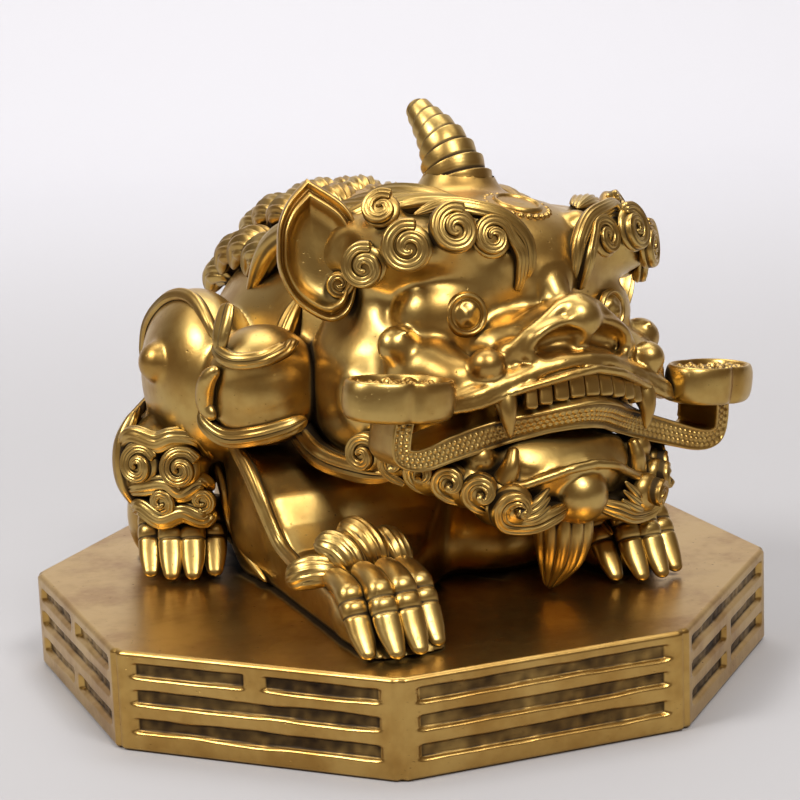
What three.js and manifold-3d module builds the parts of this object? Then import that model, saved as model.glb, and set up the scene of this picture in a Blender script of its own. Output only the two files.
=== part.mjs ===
// Cast brass guardian beast with one horn, lying on an eight-sided trigram plinth with a sceptre in its jaws.
// Millimetres, +Z up. The origin is the middle of the plinth's underside, and the beast faces -Y.
import * as THREE from "three";
import { mergeVertices } from "three/addons/utils/BufferGeometryUtils.js";
import Module from "manifold-3d";

const wasm = await Module();
wasm.setup();

// Plinth
const ACROSS_FLATS = 150;
const PLINTH_HEIGHT = 21;
const PLINTH_EDGE = 0.6;
const BAR_LENGTH = 54.5;
const BAR_GAP = 3.8;
const BAR_DEPTH = 1.2;
// Each row of bars from the top down, as the land above it and its own height
const BAR_ROWS = [
  { land: 2.2, height: 3.3 },
  { land: 2.3, height: 3.3 },
  { land: 2.6, height: 3.4 },
];
// Faces in turn from -X through -Y to +X and round the back: true is a broken bar, top row first
const TRIGRAMS = [
  [true, false, true],
  [true, false, false],
  [false, false, false],
  [false, true, true],
  [false, false, true],
  [true, true, false],
  [true, true, true],
  [false, true, false],
];

// Beast
const SEAT_GAP = 0.3;
const SEAT = PLINTH_HEIGHT + SEAT_GAP;
const HEAD_CENTRE = [18.3, -10.9, 82.4];
const HEAD_TURN = THREE.MathUtils.degToRad(14);
const HEAD_TILT = THREE.MathUtils.degToRad(6.5);
const TOES = 4;
const TOE_RADIUS = 2.6;
const TOOTH_COUNT = 12;
const HORN_RINGS = 9;
const CURL_TURNS = 1.6;
const BEAST_FACES = 8800;
const HORN_FACES = 400;

// Thinning of the fused casting: what a millimetre of edge costs, the share of edges tried in each pass,
// the least cosine between a face's old and new normal, and the least face
const SLIVER_COST = 0.02;
const PASS_SHARE = 0.08;
const LEAST_TURN = 0.25;
const LEAST_FACE = 1e-4;

// Sceptre held in the jaws
const STRAP_DEPTH = 11;
const STRAP_THICKNESS = 4.8;
const GRIP_GAP = 0.35;
const SCEPTRE_HEAD = [11.8, 7.6, 3.1];
const SCEPTRE_SKEW = THREE.MathUtils.degToRad(-10);

const vector = (p) => new THREE.Vector3(...p);

// Closed mesh geometry as a solid
function solid(geometry) {
  const bare = geometry.clone();
  bare.deleteAttribute("normal");
  bare.deleteAttribute("uv");
  const merged = mergeVertices(bare, 1e-4);
  return new wasm.Manifold(
    new wasm.Mesh({
      numProp: 3,
      vertProperties: new Float32Array(merged.attributes.position.array),
      triVerts: new Uint32Array(merged.index.array),
    }),
  );
}

const fuse = (geometries) => geometries.map(solid).reduce((whole, next) => whole.add(next));

// The solid's surface as mesh geometry
function geometryOf(shape) {
  const mesh = shape.getMesh();
  return new THREE.BufferGeometry()
    .setAttribute("position", new THREE.BufferAttribute(mesh.vertProperties, 3))
    .setIndex(new THREE.BufferAttribute(mesh.triVerts, 1));
}

// The solid as a named mesh
function node(name, shape, colour) {
  const geometry = geometryOf(shape);
  geometry.computeVertexNormals();
  const made = new THREE.Mesh(
    geometry,
    new THREE.MeshStandardMaterial({ color: colour, roughness: 0.28, metalness: 1 }),
  );
  made.name = name;
  return made;
}

// Error of a plane through a face, summed at each of its corners, as the ten terms of a symmetric 4x4 form
function planeForm(normal, offset, weight) {
  const p = [normal.x, normal.y, normal.z, offset];
  const form = [];
  for (let i = 0; i < 4; i++)
    for (let j = i; j < 4; j++) form.push(weight * p[i] * p[j]);
  return form;
}

function formError(form, { x, y, z }) {
  const p = [x, y, z, 1];
  let sum = 0;
  let k = 0;
  for (let i = 0; i < 4; i++)
    for (let j = i; j < 4; j++) sum += (i === j ? 1 : 2) * form[k++] * p[i] * p[j];
  return sum;
}

// The solid with at most `most` faces: edges whose loss moves the surface least are drawn together,
// and none is where that would pinch the surface or turn a face over
function thinned(shape, most) {
  const mesh = shape.getMesh();
  const corners = [];
  for (let i = 0; i < mesh.vertProperties.length; i += 3)
    corners.push(new THREE.Vector3().fromArray(mesh.vertProperties, i));
  const faces = [];
  for (let i = 0; i < mesh.triVerts.length; i += 3) faces.push(Array.from(mesh.triVerts.subarray(i, i + 3)));
  const around = corners.map(() => new Set());
  const forms = corners.map(() => new Array(10).fill(0));
  const normalOf = ([a, b, c]) =>
    new THREE.Vector3()
      .subVectors(corners[b], corners[a])
      .cross(new THREE.Vector3().subVectors(corners[c], corners[a]));
  faces.forEach((face, f) => {
    const normal = normalOf(face);
    const area = normal.length() / 2;
    if (area > 0) normal.normalize();
    const form = planeForm(normal, -normal.dot(corners[face[0]]), area);
    for (const v of face) {
      around[v].add(f);
      form.forEach((term, k) => (forms[v][k] += term));
    }
  });
  let count = faces.length;
  const neighbours = (v) => new Set([...around[v]].flatMap((f) => faces[f]).filter((w) => w !== v));
  const turnsOver = (v, away, spot) =>
    [...around[v]].some((f) => {
      const face = faces[f];
      if (face.includes(away)) return false;
      const before = normalOf(face);
      const kept = corners[v];
      corners[v] = spot;
      const after = normalOf(face);
      corners[v] = kept;
      if (after.length() < LEAST_FACE) return true;
      return before.dot(after) < LEAST_TURN * before.length() * after.length();
    });
  const drawTogether = (a, b, spot) => {
    for (const f of [...around[b]]) {
      if (faces[f].includes(a)) {
        for (const v of faces[f]) around[v].delete(f);
        faces[f] = null;
        count--;
      } else {
        faces[f] = faces[f].map((v) => (v === b ? a : v));
        around[a].add(f);
      }
    }
    around[b].clear();
    corners[a] = spot;
    forms[a] = forms[a].map((term, k) => term + forms[b][k]);
  };
  while (count > most) {
    const edges = [];
    for (const face of faces)
      for (let k = 0; face && k < 3; k++) {
        const a = face[k];
        const b = face[(k + 1) % 3];
        if (a > b) continue;
        const form = forms[a].map((term, i) => term + forms[b][i]);
        const middle = corners[a].clone().lerp(corners[b], 0.5);
        const spots = [middle, corners[a], corners[b]].map((spot) => ({ spot, error: formError(form, spot) }));
        spots.sort((p, q) => p.error - q.error);
        const length = corners[a].distanceTo(corners[b]);
        edges.push({ a, b, spot: spots[0].spot.clone(), cost: spots[0].error + SLIVER_COST * length });
      }
    edges.sort((p, q) => p.cost - q.cost);
    const limit = edges[Math.floor(edges.length * PASS_SHARE)].cost;
    const touched = new Set();
    const before = count;
    for (const { a, b, spot, cost } of edges) {
      if (count <= most || cost > limit) break;
      if (touched.has(a) || touched.has(b)) continue;
      const nearA = neighbours(a);
      const shared = [...neighbours(b)].filter((v) => nearA.has(v));
      if (shared.length !== 2 || turnsOver(a, b, spot) || turnsOver(b, a, spot)) continue;
      drawTogether(a, b, spot);
      for (const v of [a, b, ...shared]) touched.add(v);
    }
    if (count === before) break;
  }
  const used = [...new Set(faces.filter(Boolean).flat())];
  const place = new Map(used.map((v, i) => [v, i]));
  return new wasm.Manifold(
    new wasm.Mesh({
      numProp: 3,
      vertProperties: new Float32Array(used.flatMap((v) => corners[v].toArray())),
      triVerts: new Uint32Array(faces.filter(Boolean).flatMap((face) => face.map((v) => place.get(v)))),
    }),
  );
}

// The same forms on the other side of the middle plane
function mirrored(geometries) {
  return geometries.map((geometry) => {
    const copy = geometry.clone().scale(-1, 1, 1);
    const turned = Array.from(copy.index.array);
    for (let i = 0; i < turned.length; i += 3)
      [turned[i + 1], turned[i + 2]] = [turned[i + 2], turned[i + 1]];
    return copy.setIndex(turned);
  });
}

const bothSides = (geometries) => [...geometries, ...mirrored(geometries)];

// Rounded lump with three half-widths, turned about X, Y and Z
function lump(at, half, { turn = [0, 0, 0], round = 12, high = 8 } = {}) {
  return new THREE.SphereGeometry(1, round, high)
    .rotateX(Math.PI / 2)
    .scale(...half)
    .applyMatrix4(new THREE.Matrix4().makeRotationFromEuler(new THREE.Euler(...turn)))
    .translate(...at);
}

// Smooth change of width along a limb, from evenly spaced values
function widths(...values) {
  const line = new THREE.SplineCurve(values.map((v, i) => new THREE.Vector2(i, v)));
  return (t) => line.getPoint(t).y;
}

// Cylinder bent along a smooth line: half-width across and thickness towards `up` change along it,
// and `ridges` raise that many strands round it
function limb(points, width, options = {}) {
  const { sides = 8, steps = 6, flat = 1, up = [0, 0, 1], ridges = 0, ridgeHeight = 0.16 } = options;
  const line = new THREE.CatmullRomCurve3(points.map(vector), false, "centripetal");
  const geometry = new THREE.CylinderGeometry(1, 1, 1, sides, steps);
  const place = geometry.attributes.position;
  const reference = vector(up);
  for (let i = 0; i < place.count; i++) {
    const t = THREE.MathUtils.clamp(0.5 - place.getY(i), 0, 1);
    const along = line.getTangent(t);
    const across = new THREE.Vector3().crossVectors(reference, along).normalize();
    const out = new THREE.Vector3().crossVectors(along, across);
    const angle = Math.atan2(place.getZ(i), place.getX(i));
    const strand = ridges ? 1 + ridgeHeight * Math.cos(ridges * angle) : 1;
    const size = width(t) * strand;
    const spot = line
      .getPoint(t)
      .addScaledVector(across, place.getX(i) * size)
      .addScaledVector(out, place.getZ(i) * size * flat);
    place.setXYZ(i, spot.x, spot.y, spot.z);
  }
  return geometry;
}

// Two directions square to the one that a curl or disc faces
function facingAxes(facing) {
  const out = vector(facing).normalize();
  const right = new THREE.Vector3(0, 0, 1).cross(out).normalize();
  return { out, right, up: new THREE.Vector3().crossVectors(out, right) };
}

// Curl of hair: a low dome with one raised strand that winds in to its middle
function curl(at, facing, radius, { hand = 1, start = 0 } = {}) {
  const { out, right, up } = facingAxes(facing);
  const frame = new THREE.Matrix4().makeBasis(right, up, out).setPosition(...at);
  const dome = new THREE.SphereGeometry(1, 9, 5)
    .rotateX(Math.PI / 2)
    .scale(radius * 0.95, radius * 0.95, radius * 0.5)
    .applyMatrix4(frame);
  const points = [];
  const count = 12;
  for (let i = 0; i <= count; i++) {
    const t = i / count;
    const angle = start + hand * t * CURL_TURNS * 2 * Math.PI;
    const reach = radius * (0.82 - 0.72 * t);
    const height = radius * (0.2 + 0.42 * t);
    points.push(
      vector(at)
        .addScaledVector(right, Math.cos(angle) * reach)
        .addScaledVector(up, Math.sin(angle) * reach)
        .addScaledVector(out, height)
        .toArray(),
    );
  }
  const strand = limb(points, widths(0.17 * radius, 0.19 * radius, 0.12 * radius), {
    sides: 4,
    steps: count,
    up: out.toArray(),
  });
  return [dome, strand];
}

// Eight-sided plinth with the trigram bars sunk into its faces
function plinth() {
  const corner = ACROSS_FLATS / 2 / Math.cos(Math.PI / 8);
  const outline = new THREE.Shape();
  for (let i = 0; i < 8; i++) {
    const angle = ((i + 0.5) * Math.PI) / 4;
    outline[i ? "lineTo" : "moveTo"](corner * Math.cos(angle), corner * Math.sin(angle));
  }
  let body = solid(
    new THREE.ExtrudeGeometry(outline, {
      depth: PLINTH_HEIGHT - 2 * PLINTH_EDGE,
      bevelThickness: PLINTH_EDGE,
      bevelSize: PLINTH_EDGE,
      bevelOffset: -PLINTH_EDGE,
      bevelSegments: 1,
    }).translate(0, 0, PLINTH_EDGE),
  );
  TRIGRAMS.forEach((rows, face) => {
    const turn = Math.PI + (face * Math.PI) / 4;
    let top = PLINTH_HEIGHT;
    rows.forEach((broken, row) => {
      const { land, height } = BAR_ROWS[row];
      top -= land + height;
      const length = broken ? (BAR_LENGTH - BAR_GAP) / 2 : BAR_LENGTH;
      const places = broken ? [-(length + BAR_GAP) / 2, (length + BAR_GAP) / 2] : [0];
      for (const place of places)
        body = body.subtract(
          solid(
            new THREE.BoxGeometry(2 * BAR_DEPTH, length, height)
              .translate(ACROSS_FLATS / 2, place, top + height / 2)
              .rotateZ(turn),
          ),
        );
    });
  });
  return body;
}

// Trunk, chest and belly, with the neck that carries the head
function trunk() {
  return [
    lump([0, 25, 56], [34.5, 41, 39], { round: 20, high: 14 }),
    lump([0, 20, 29], [34, 38, 16], { round: 18, high: 8 }),
    lump([6, 0, 46], [25, 22, 30], { round: 14, high: 10 }),
    lump([11, 8, 78], [31, 22, 21], { round: 14, high: 8 }),
  ];
}

// Toes of one paw, side by side between the two outer tips, each bending down over two knuckles
function paw(firstTip, lastTip, heading) {
  const ahead = new THREE.Vector3(Math.sin(heading), -Math.cos(heading), 0);
  const forms = [];
  for (let i = 0; i < TOES; i++) {
    const share = i / (TOES - 1);
    const tip = vector(firstTip).lerp(vector(lastTip), share);
    const arch = 1 + 0.12 * Math.sin(Math.PI * share);
    const at = (back, high) => tip.clone().addScaledVector(ahead, -back).setZ(SEAT + high * arch);
    const points = [at(-0.4, 0), at(1.6, 4.2), at(5.6, 7.2), at(10.5, 9.6), at(17, 11.5)];
    forms.push(
      limb(
        points.map((p) => p.toArray()),
        widths(0.9, 2.3, TOE_RADIUS, 2.5, TOE_RADIUS),
        { sides: 7, steps: 7 },
      ),
    );
  }
  const middle = vector(firstTip).lerp(vector(lastTip), 0.5).addScaledVector(ahead, -13);
  forms.push(
    lump([middle.x, middle.y, SEAT + 5], [9.6, 11, 7.5], { turn: [0, 0, heading], round: 12, high: 6 }),
  );
  return forms;
}

// Puffs of ridged fur in a row over a paw
function furPuffs(places, length) {
  return places.map(([x, y, z]) =>
    limb(
      [
        [x, y + length * 0.75, z - 2.6],
        [x, y + length * 0.2, z + 0.6],
        [x, y - length * 0.35, z - 0.6],
        [x, y - length * 0.5, z - 3.4],
      ],
      widths(2, 3.6, 3.5, 1),
      { sides: 10, steps: 5, ridges: 5 },
    ),
  );
}

// Fore limb from the shoulder to the wrist, with its elbow low behind it and fur over the wrist
function foreleg(side, wrist, wristFur) {
  const [x, y] = wrist;
  return [
    limb(
      [
        [side * 19, 14, 60],
        [side * 24, 2, 46],
        [side * 0.5 * (26 + Math.abs(x)), (y - 6) / 2, 38],
        [x, y, 30],
        [x, y - 10, 28],
      ],
      widths(8, 13.5, 14, 10.5, 8),
      { sides: 12, steps: 8 },
    ),
    lump([side * 29, 3, 34], [9, 18, 18], { round: 10, high: 8 }),
    lump([side * 17, y * 0.45, 27], [17, 17, 12], { round: 10, high: 6 }),
    lump([side * 22, 11, 61], [13, 14, 13], { round: 12, high: 8 }),
    ...furPuffs(wristFur, 9),
  ];
}

// Raised bands over the shoulder and down the outer side of the fore limb
function legBands() {
  const band = { sides: 6, steps: 8, flat: 0.7, up: [-1, -0.4, 0.2] };
  return [
    limb([[-33, 15, 66], [-35, 8.3, 67.8], [-30, -1.8, 68.9], [-24, -6, 73.5]], widths(2, 2.6, 2.6, 2), band),
    limb([[-36, 17, 58], [-36.5, 11, 54], [-33, 1, 53], [-25, -3, 55.5]], widths(2, 2.8, 2.8, 2), band),
    limb([[-33, 16, 66], [-36.5, 14, 62], [-35, 14, 57]], widths(3, 4.2, 3), { ...band, flat: 1 }),
    limb(
      [[-34, 16, 50], [-37.5, 11, 44], [-39, 1, 39], [-39.5, -5, 31], [-39, -15, 25], [-36, -30, 25]],
      widths(1.8, 2.4, 2.4, 2.2, 2),
      { ...band, steps: 10 },
    ),
  ];
}

// Haunch with its corded rim and knob, the fur cuff below it and the hind paw
function hindleg() {
  return [
    lump([-36, 24, 61.5], [13.5, 18, 17.5], { round: 14, high: 10 }),
    limb(
      [[-46, 34, 66], [-45.5, 34, 72], [-41, 27, 78.5], [-37, 17, 79], [-35, 9, 74]],
      widths(2, 2.2, 2.2, 2),
      { sides: 6, steps: 10 },
    ),
    lump([-47, 28, 69], [3.4, 3.6, 3.6], { round: 8, high: 6 }),
    lump([-43, 24, 42], [12, 17, 13], { round: 12, high: 8 }),
    lump([-44, 22, 30], [9.5, 12, 10], { round: 10, high: 6 }),
    ...curl([-46, 9.5, 44.5], [-0.5, -0.85, 0.1], 4.2, { hand: 1 }),
    ...curl([-52.3, 15.5, 45.5], [-0.8, -0.6, 0.1], 4.4, { hand: -1, start: 1.5 }),
    ...[0, 1, 2].map((i) =>
      limb(
        [
          [-47 + 4 * i, 27 + 6 * i, 33],
          [-52 + 3.6 * i, 28 + 6 * i, 41],
          [-51.5 + 3.6 * i, 29 + 6 * i, 50],
          [-48 + 3.6 * i, 30 + 5.5 * i, 58],
        ],
        widths(3, 4.4, 3.8, 1.2),
        { sides: 8, steps: 5, ridges: 4 },
      ),
    ),
    ...paw([-52.4, 16.2, SEAT], [-41.8, 5.9, SEAT], -0.42),
  ];
}

// Rows of ridged tufts down the neck and back, their tips turned out and down
function backMane() {
  const forms = [];
  const rows = [
    { y: 22, z: 99.5, spread: 9.5 },
    { y: 34, z: 94.5, spread: 9.5 },
    { y: 46, z: 86, spread: 9 },
  ];
  for (const { y, z, spread } of rows)
    for (const step of [1, 2.4])
      forms.push(
        limb(
          [
            [-spread * (step - 0.9), y - 8, z + 1 - 1.2 * step],
            [-spread * (step - 0.3), y - 1, z + 2.2 - 2.4 * step],
            [-spread * (step + 0.1), y + 5, z - 2.6 * step],
            [-spread * (step + 0.1), y + 8, z - 4 - 3 * step],
          ],
          widths(3, 5, 5, 1.4),
          { sides: 10, steps: 5, ridges: 5, flat: 0.8 },
        ),
      );
  return bothSides(forms);
}

// Tail rising from the rump, with flame-shaped tips
function tail() {
  const options = { sides: 10, steps: 7, ridges: 5, flat: 0.7, up: [0, 1, 0.2] };
  return [
    limb([[0, 56, 36], [2, 65, 50], [7, 62, 68], [13, 52, 84], [21, 45, 97]], widths(6, 9, 9, 7, 1), options),
    limb([[0, 60, 42], [-9, 64, 54], [-12, 60, 68], [-6, 52, 84]], widths(4, 6.5, 6, 1), options),
    limb([[2, 60, 42], [15, 62, 52], [23, 55, 66], [26, 46, 80]], widths(4, 6.5, 6, 1), options),
  ];
}

// Skull, brow and the mane behind the ears, in the head's own frame
function skull() {
  return [
    lump([0, 9, 0], [33, 29, 20.5], { round: 18, high: 12 }),
    lump([0, -6, 6.5], [25, 15, 13], { round: 14, high: 8 }),
    lump([0, 30, 2], [30, 16, 18], { round: 14, high: 8 }),
    ...bothSides([
      lump([-20, -11, -4.5], [9.5, 8, 8.4], { round: 12, high: 8 }),
      lump([-20, -7, 8], [15, 12, 8.5], { round: 10, high: 6 }),
      lump([-25, 5, 8], [12.5, 14, 9], { round: 10, high: 6 }),
      lump([-30, 3, -20], [8.5, 17, 16], { round: 12, high: 8 }),
      lump([-25, -14, -14], [9.5, 13, 8], { round: 10, high: 6 }),
      lump([-32.6, -13.5, -9.2], [4.2, 4, 4], { round: 8, high: 6 }),
      lump([-22, -27.5, -12], [3.8, 3.8, 3.6], { round: 8, high: 6 }),
    ]),
  ];
}

// Broad nose, curled nostrils and the rolled upper lip
function muzzle() {
  return [
    lump([0, -23, -6], [21, 15, 9.5], { round: 14, high: 8 }),
    lump([0, -32.5, -2.5], [8.2, 6.2, 5.6], { round: 10, high: 6 }),
    limb([[0, -16, 3], [0, -24, 0], [0, -31, 0]], widths(4.5, 4, 5), { sides: 8, steps: 4 }),
    limb(
      [
        [-33, -26, -19.5], [-25.5, -29.5, -21], [-13.8, -35.5, -16.3], [-5.5, -39, -11.3], [0, -39.8, -10.2],
        [5.5, -39, -11.3], [13.8, -35.5, -16.3], [25.5, -29.5, -21], [33, -26, -19.5],
      ],
      widths(1.2, 2.1, 2.2, 2.1, 1.2),
      { sides: 6, steps: 16 },
    ),
    ...bothSides([
      lump([-9, -31, -7], [5.4, 5, 4.6], { round: 8, high: 6 }),
      limb([[-9, -34.5, -10.5], [-14, -33, -8], [-13, -32.5, -3], [-8, -34, -1.6]], widths(1, 1.8, 1.8, 1), {
        sides: 6,
      }),
    ]),
  ];
}

// Row of upper teeth along the lip, and the four fangs
function teeth() {
  const forms = [];
  for (let i = 0; i < TOOTH_COUNT; i++) {
    const share = (i + 0.5) / TOOTH_COUNT - 0.5;
    const x = share * 31;
    const y = -38.3 + 0.017 * x * x;
    const z = -15.4 - 0.013 * x * x;
    const turn = Math.atan(0.034 * x);
    forms.push(new THREE.BoxGeometry(2.2, 3, 6).rotateZ(turn).translate(x, y, z));
  }
  forms.push(lump([0, -28, -15], [20, 9, 5], { round: 12, high: 6 }));
  const fangs = [
    limb([[-18.3, -33.5, -17], [-18.8, -34.6, -22], [-18.3, -33.8, -26.2]], widths(2.6, 2.2, 0.4), {
      sides: 6,
      steps: 4,
    }),
    limb([[-17.5, -31, -35], [-18.2, -33.6, -32.5], [-17.8, -33.8, -28.4]], widths(3.2, 2.4, 0.5), {
      sides: 6,
      steps: 4,
    }),
  ];
  return [...forms, ...bothSides(fangs)];
}

// Lower jaw with its lip, the tongue, the chin ball and the beard that hangs from it
function jaw() {
  return [
    lump([0, -19, -33], [25, 18, 7], { round: 14, high: 6 }),
    lump([0, -6, -24], [26, 16, 13], { round: 12, high: 6 }),
    lump([0, -25, -26.5], [11, 11, 4], { round: 10, high: 6 }),
    limb(
      [
        [-28, -25, -31], [-18.6, -34, -35], [-9.5, -37.6, -32.4], [0, -38.6, -31.6],
        [9.5, -37.6, -32.4], [18.6, -34, -35], [28, -25, -31],
      ],
      widths(2, 2.2, 2.1, 2.2, 2),
      { sides: 6, steps: 12 },
    ),
    lump([0, -32.6, -40], [6, 6, 6], { round: 12, high: 8 }),
    limb([[0, -30, -42], [0, -31.6, -49], [0, -31.6, -55], [0, -31.2, -59.4]], widths(4.6, 5.6, 3.8, 0.8), {
      sides: 12,
      steps: 5,
      ridges: 6,
    }),
    ...bothSides([
      ...curl([-17.4, -32.5, -40], [-0.35, -0.92, -0.1], 6, { hand: 1 }),
      ...curl([-25.4, -28.5, -37], [-0.6, -0.8, -0.1], 4.2, { hand: -1 }),
      lump([-30.5, -23.5, -35.5], [4.2, 4.6, 4.4], { round: 8, high: 6 }),
      limb([[-13, -33, -43], [-9, -34, -42], [-3, -33, -42]], widths(3, 3.2, 1.5), { sides: 6, steps: 3 }),
    ]),
  ];
}

// Row of curls over one brow, with the strand that ends at the nose bridge
function browCurls() {
  const curls = [
    { at: [-14.6, -18.6, 12], radius: 4.2, facing: [-0.3, -0.88, 0.36], hand: -1 },
    { at: [-23.4, -17, 13.6], radius: 4.7, facing: [-0.42, -0.86, 0.3], hand: 1 },
    { at: [-31.4, -13.2, 10.4], radius: 5, facing: [-0.62, -0.75, 0.24], hand: 1 },
    { at: [-36, -5.4, 6.2], radius: 4.4, facing: [-0.8, -0.58, 0.15], hand: 1 },
    { at: [-31, -4.4, 16.4], radius: 4.6, facing: [-0.6, -0.55, 0.58], hand: 1 },
  ];
  return [
    ...curls.flatMap(({ at, facing, radius, hand }) => curl(at, facing, radius, { hand, start: 0.8 })),
    limb([[-20, -14, 17], [-12, -18, 17.5], [-7.2, -20, 13], [-6.2, -18.8, 3.5]], widths(1.5, 2.2, 2, 1), {
      sides: 6,
      steps: 7,
    }),
  ];
}

// Leaf-shaped ear, hollowed at the front, standing out behind the brow
function ear() {
  const leaf = (scale) => {
    const shape = new THREE.Shape();
    shape.moveTo(2.9 * scale, 14.9 * scale);
    shape.quadraticCurveTo(9.6 * scale, 8 * scale, 8.9 * scale, 0.9 * scale);
    shape.quadraticCurveTo(8.6 * scale, -9 * scale, -3.3 * scale, -14.5 * scale);
    shape.quadraticCurveTo(-8.6 * scale, -6 * scale, -8 * scale, 1.7 * scale);
    shape.quadraticCurveTo(-6.4 * scale, 9.4 * scale, 2.9 * scale, 14.9 * scale);
    return shape;
  };
  const { out, right, up } = facingAxes([-0.45, -0.88, 0.12]);
  const frame = new THREE.Matrix4().makeBasis(right.negate(), up, out.negate()).setPosition(-40.4, 5.4, 7.6);
  const plate = new THREE.ExtrudeGeometry(leaf(1), { depth: 5, bevelEnabled: false, curveSegments: 4 });
  const hollow = new THREE.ExtrudeGeometry(leaf(0.78), { depth: 4, bevelEnabled: false, curveSegments: 3 });
  plate.translate(0, 0, -1).applyMatrix4(frame);
  hollow.translate(0, 0, -2.6).applyMatrix4(frame);
  const root = limb([[-26, 11, 1], [-33, 9, 4], [-38, 8, 6]], widths(7, 6.5, 5), { sides: 8, steps: 3 });
  return solid(plate).add(solid(root)).subtract(solid(hollow));
}

// Stepped horn, curved back from the crown
function horn() {
  const rings = (t) => {
    const ring = (t * HORN_RINGS) % 1;
    return (9.8 - 7.5 * t ** 0.85) * (0.94 + 0.17 * ring);
  };
  return [
    limb([[0, 11, 14], [0, 12.5, 21], [0, 18, 29], [0, 26, 35], [0, 30, 37.4]], rings, {
      sides: 9,
      steps: 2 * HORN_RINGS,
      up: [0, 1, 0],
    }),
    lump([0, -8.4, 18.2], [5.2, 4.6, 2.4], { round: 12, high: 4 }),
  ];
}

// Corded edge of the cheek, from behind the ear round to the beard, and locks swept back over the crown
function cheekCord() {
  return [
    limb(
      [
        [-33, 22, -3], [-37, 21, -12], [-37.5, 17, -17], [-37.6, 16.5, -22], [-37.4, 16.5, -28],
        [-37, 11, -33.5], [-36.5, 4, -36], [-35.5, -8, -36.5], [-33, -17, -36],
      ],
      widths(1.8, 2.6, 2.7, 2.6, 2.2),
      { sides: 6, steps: 14 },
    ),
    ...[0, 1, 2].map((i) =>
      limb(
        [
          [-6 - 7 * i, 3 + 5 * i, 16.5 - 1.2 * i],
          [-10 - 7 * i, 14 + 5 * i, 17.5 - 1.6 * i],
          [-13 - 7 * i, 27 + 4 * i, 14.5 - 3.6 * i],
          [-15 - 6 * i, 40 + i, 5 - 5 * i],
        ],
        widths(1.5, 4, 4.6, 1.4),
        { sides: 8, steps: 6, ridges: 4 },
      ),
    ),
  ];
}

// The head, built about its own centre, then turned and tilted into place
function head() {
  const frame = new THREE.Matrix4()
    .makeTranslation(...HEAD_CENTRE)
    .multiply(new THREE.Matrix4().makeRotationZ(HEAD_TURN))
    .multiply(new THREE.Matrix4().makeRotationY(HEAD_TILT));
  const parts = [
    ...skull(), ...muzzle(), ...teeth(), ...jaw(),
    ...bothSides([...browCurls(), ...cheekCord()]),
  ];
  const ears = bothSides([geometryOf(ear())]);
  return { frame, parts: [...parts, ...ears] };
}

// Sceptre: a flat strap that dips across the jaws and turns up into a lozenge head at each end
function sceptreForms(grow) {
  const strap = (points, steps) => {
    const line = new THREE.CatmullRomCurve3(points.map(vector), false, "centripetal");
    const geometry = new THREE.BoxGeometry(1, STRAP_DEPTH + 2 * grow, STRAP_THICKNESS + 2 * grow, steps, 1, 1);
    const place = geometry.attributes.position;
    for (let i = 0; i < place.count; i++) {
      const t = THREE.MathUtils.clamp(place.getX(i) + 0.5, 0, 1);
      const along = line.getTangent(t);
      const level = new THREE.Vector3(-along.y, along.x, 0);
      if (level.length() < 0.3) level.set(-Math.sin(SCEPTRE_SKEW), Math.cos(SCEPTRE_SKEW), 0);
      level.normalize();
      const out = new THREE.Vector3().crossVectors(along, level).normalize();
      const spot = line
        .getPoint(t)
        .addScaledVector(level, place.getY(i))
        .addScaledVector(out, place.getZ(i));
      place.setXYZ(i, spot.x, spot.y, spot.z);
    }
    return geometry;
  };
  const bar = strap(
    [
      [-44.9, -24.6, -30], [-36, -25.4, -30], [-26, -27, -27.4], [-14, -29.6, -24.8], [0, -31.4, -22.6],
      [14, -29.6, -24.8], [26, -27, -27.4], [36, -25.4, -30], [44.9, -24.6, -30],
    ],
    12,
  );
  const size = SCEPTRE_HEAD.map((v) => v + grow);
  return [
    bar,
    ...bothSides([
      new THREE.BoxGeometry(STRAP_THICKNESS + 2 * grow, STRAP_DEPTH + 2 * grow, 14 + 2 * grow)
        .rotateZ(SCEPTRE_SKEW)
        .translate(-42.8, -25, -25.2),
      new THREE.CylinderGeometry(1, 1, 1, 14, 1)
        .rotateX(Math.PI / 2)
        .scale(size[0], size[1], 2 * size[2])
        .rotateZ(SCEPTRE_SKEW)
        .translate(-42, -26.8, -17.4),
    ]),
  ];
}

const placed = (geometries, frame) => geometries.map((g) => g.clone().applyMatrix4(frame));

// The beast as one casting, cut flat where it sits on the plinth and opened where the sceptre passes
function beast(frame, headParts) {
  const body = [
    ...trunk(),
    ...foreleg(-1, [-26, -40], [[-33, -39.5, 35.5], [-27.5, -44, 38.5], [-21.5, -46, 39], [-17, -46, 36.5]]),
    ...foreleg(1, [41, -18], [[33, -20, 36], [38, -22, 38.5], [44, -23, 38], [49, -20, 35.5]]),
    ...paw([-32.9, -65.5, SEAT], [-18.5, -64.8, SEAT], 0),
    ...paw([33.8, -39.4, SEAT], [47.9, -39.7, SEAT], 0),
    ...bothSides([...hindleg(), ...legBands()]),
    ...backMane(),
    ...tail(),
    ...placed(headParts, frame),
  ];
  const under = new THREE.BoxGeometry(300, 300, 60).translate(0, 0, SEAT - 30);
  const cast = fuse(body).subtract(solid(under)).subtract(fuse(placed(sceptreForms(GRIP_GAP), frame)));
  return thinned(cast, BEAST_FACES - HORN_FACES).add(fuse(placed(horn(), frame)));
}

const { frame, parts } = head();
const group = new THREE.Group();
group.add(
  node("trigram_plinth", plinth(), 0xa8853a),
  node("beast", beast(frame, parts), 0xb8923c),
  node("ruyi_sceptre", fuse(placed(sceptreForms(0), frame)), 0xb08a3a),
);
export default group;
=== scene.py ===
"""Looks of a cast brass guardian beast that grips a ruyi sceptre, on an octagonal trigram plinth."""

import math

import bpy
import numpy as np
from mathutils import Matrix, Vector


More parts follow.
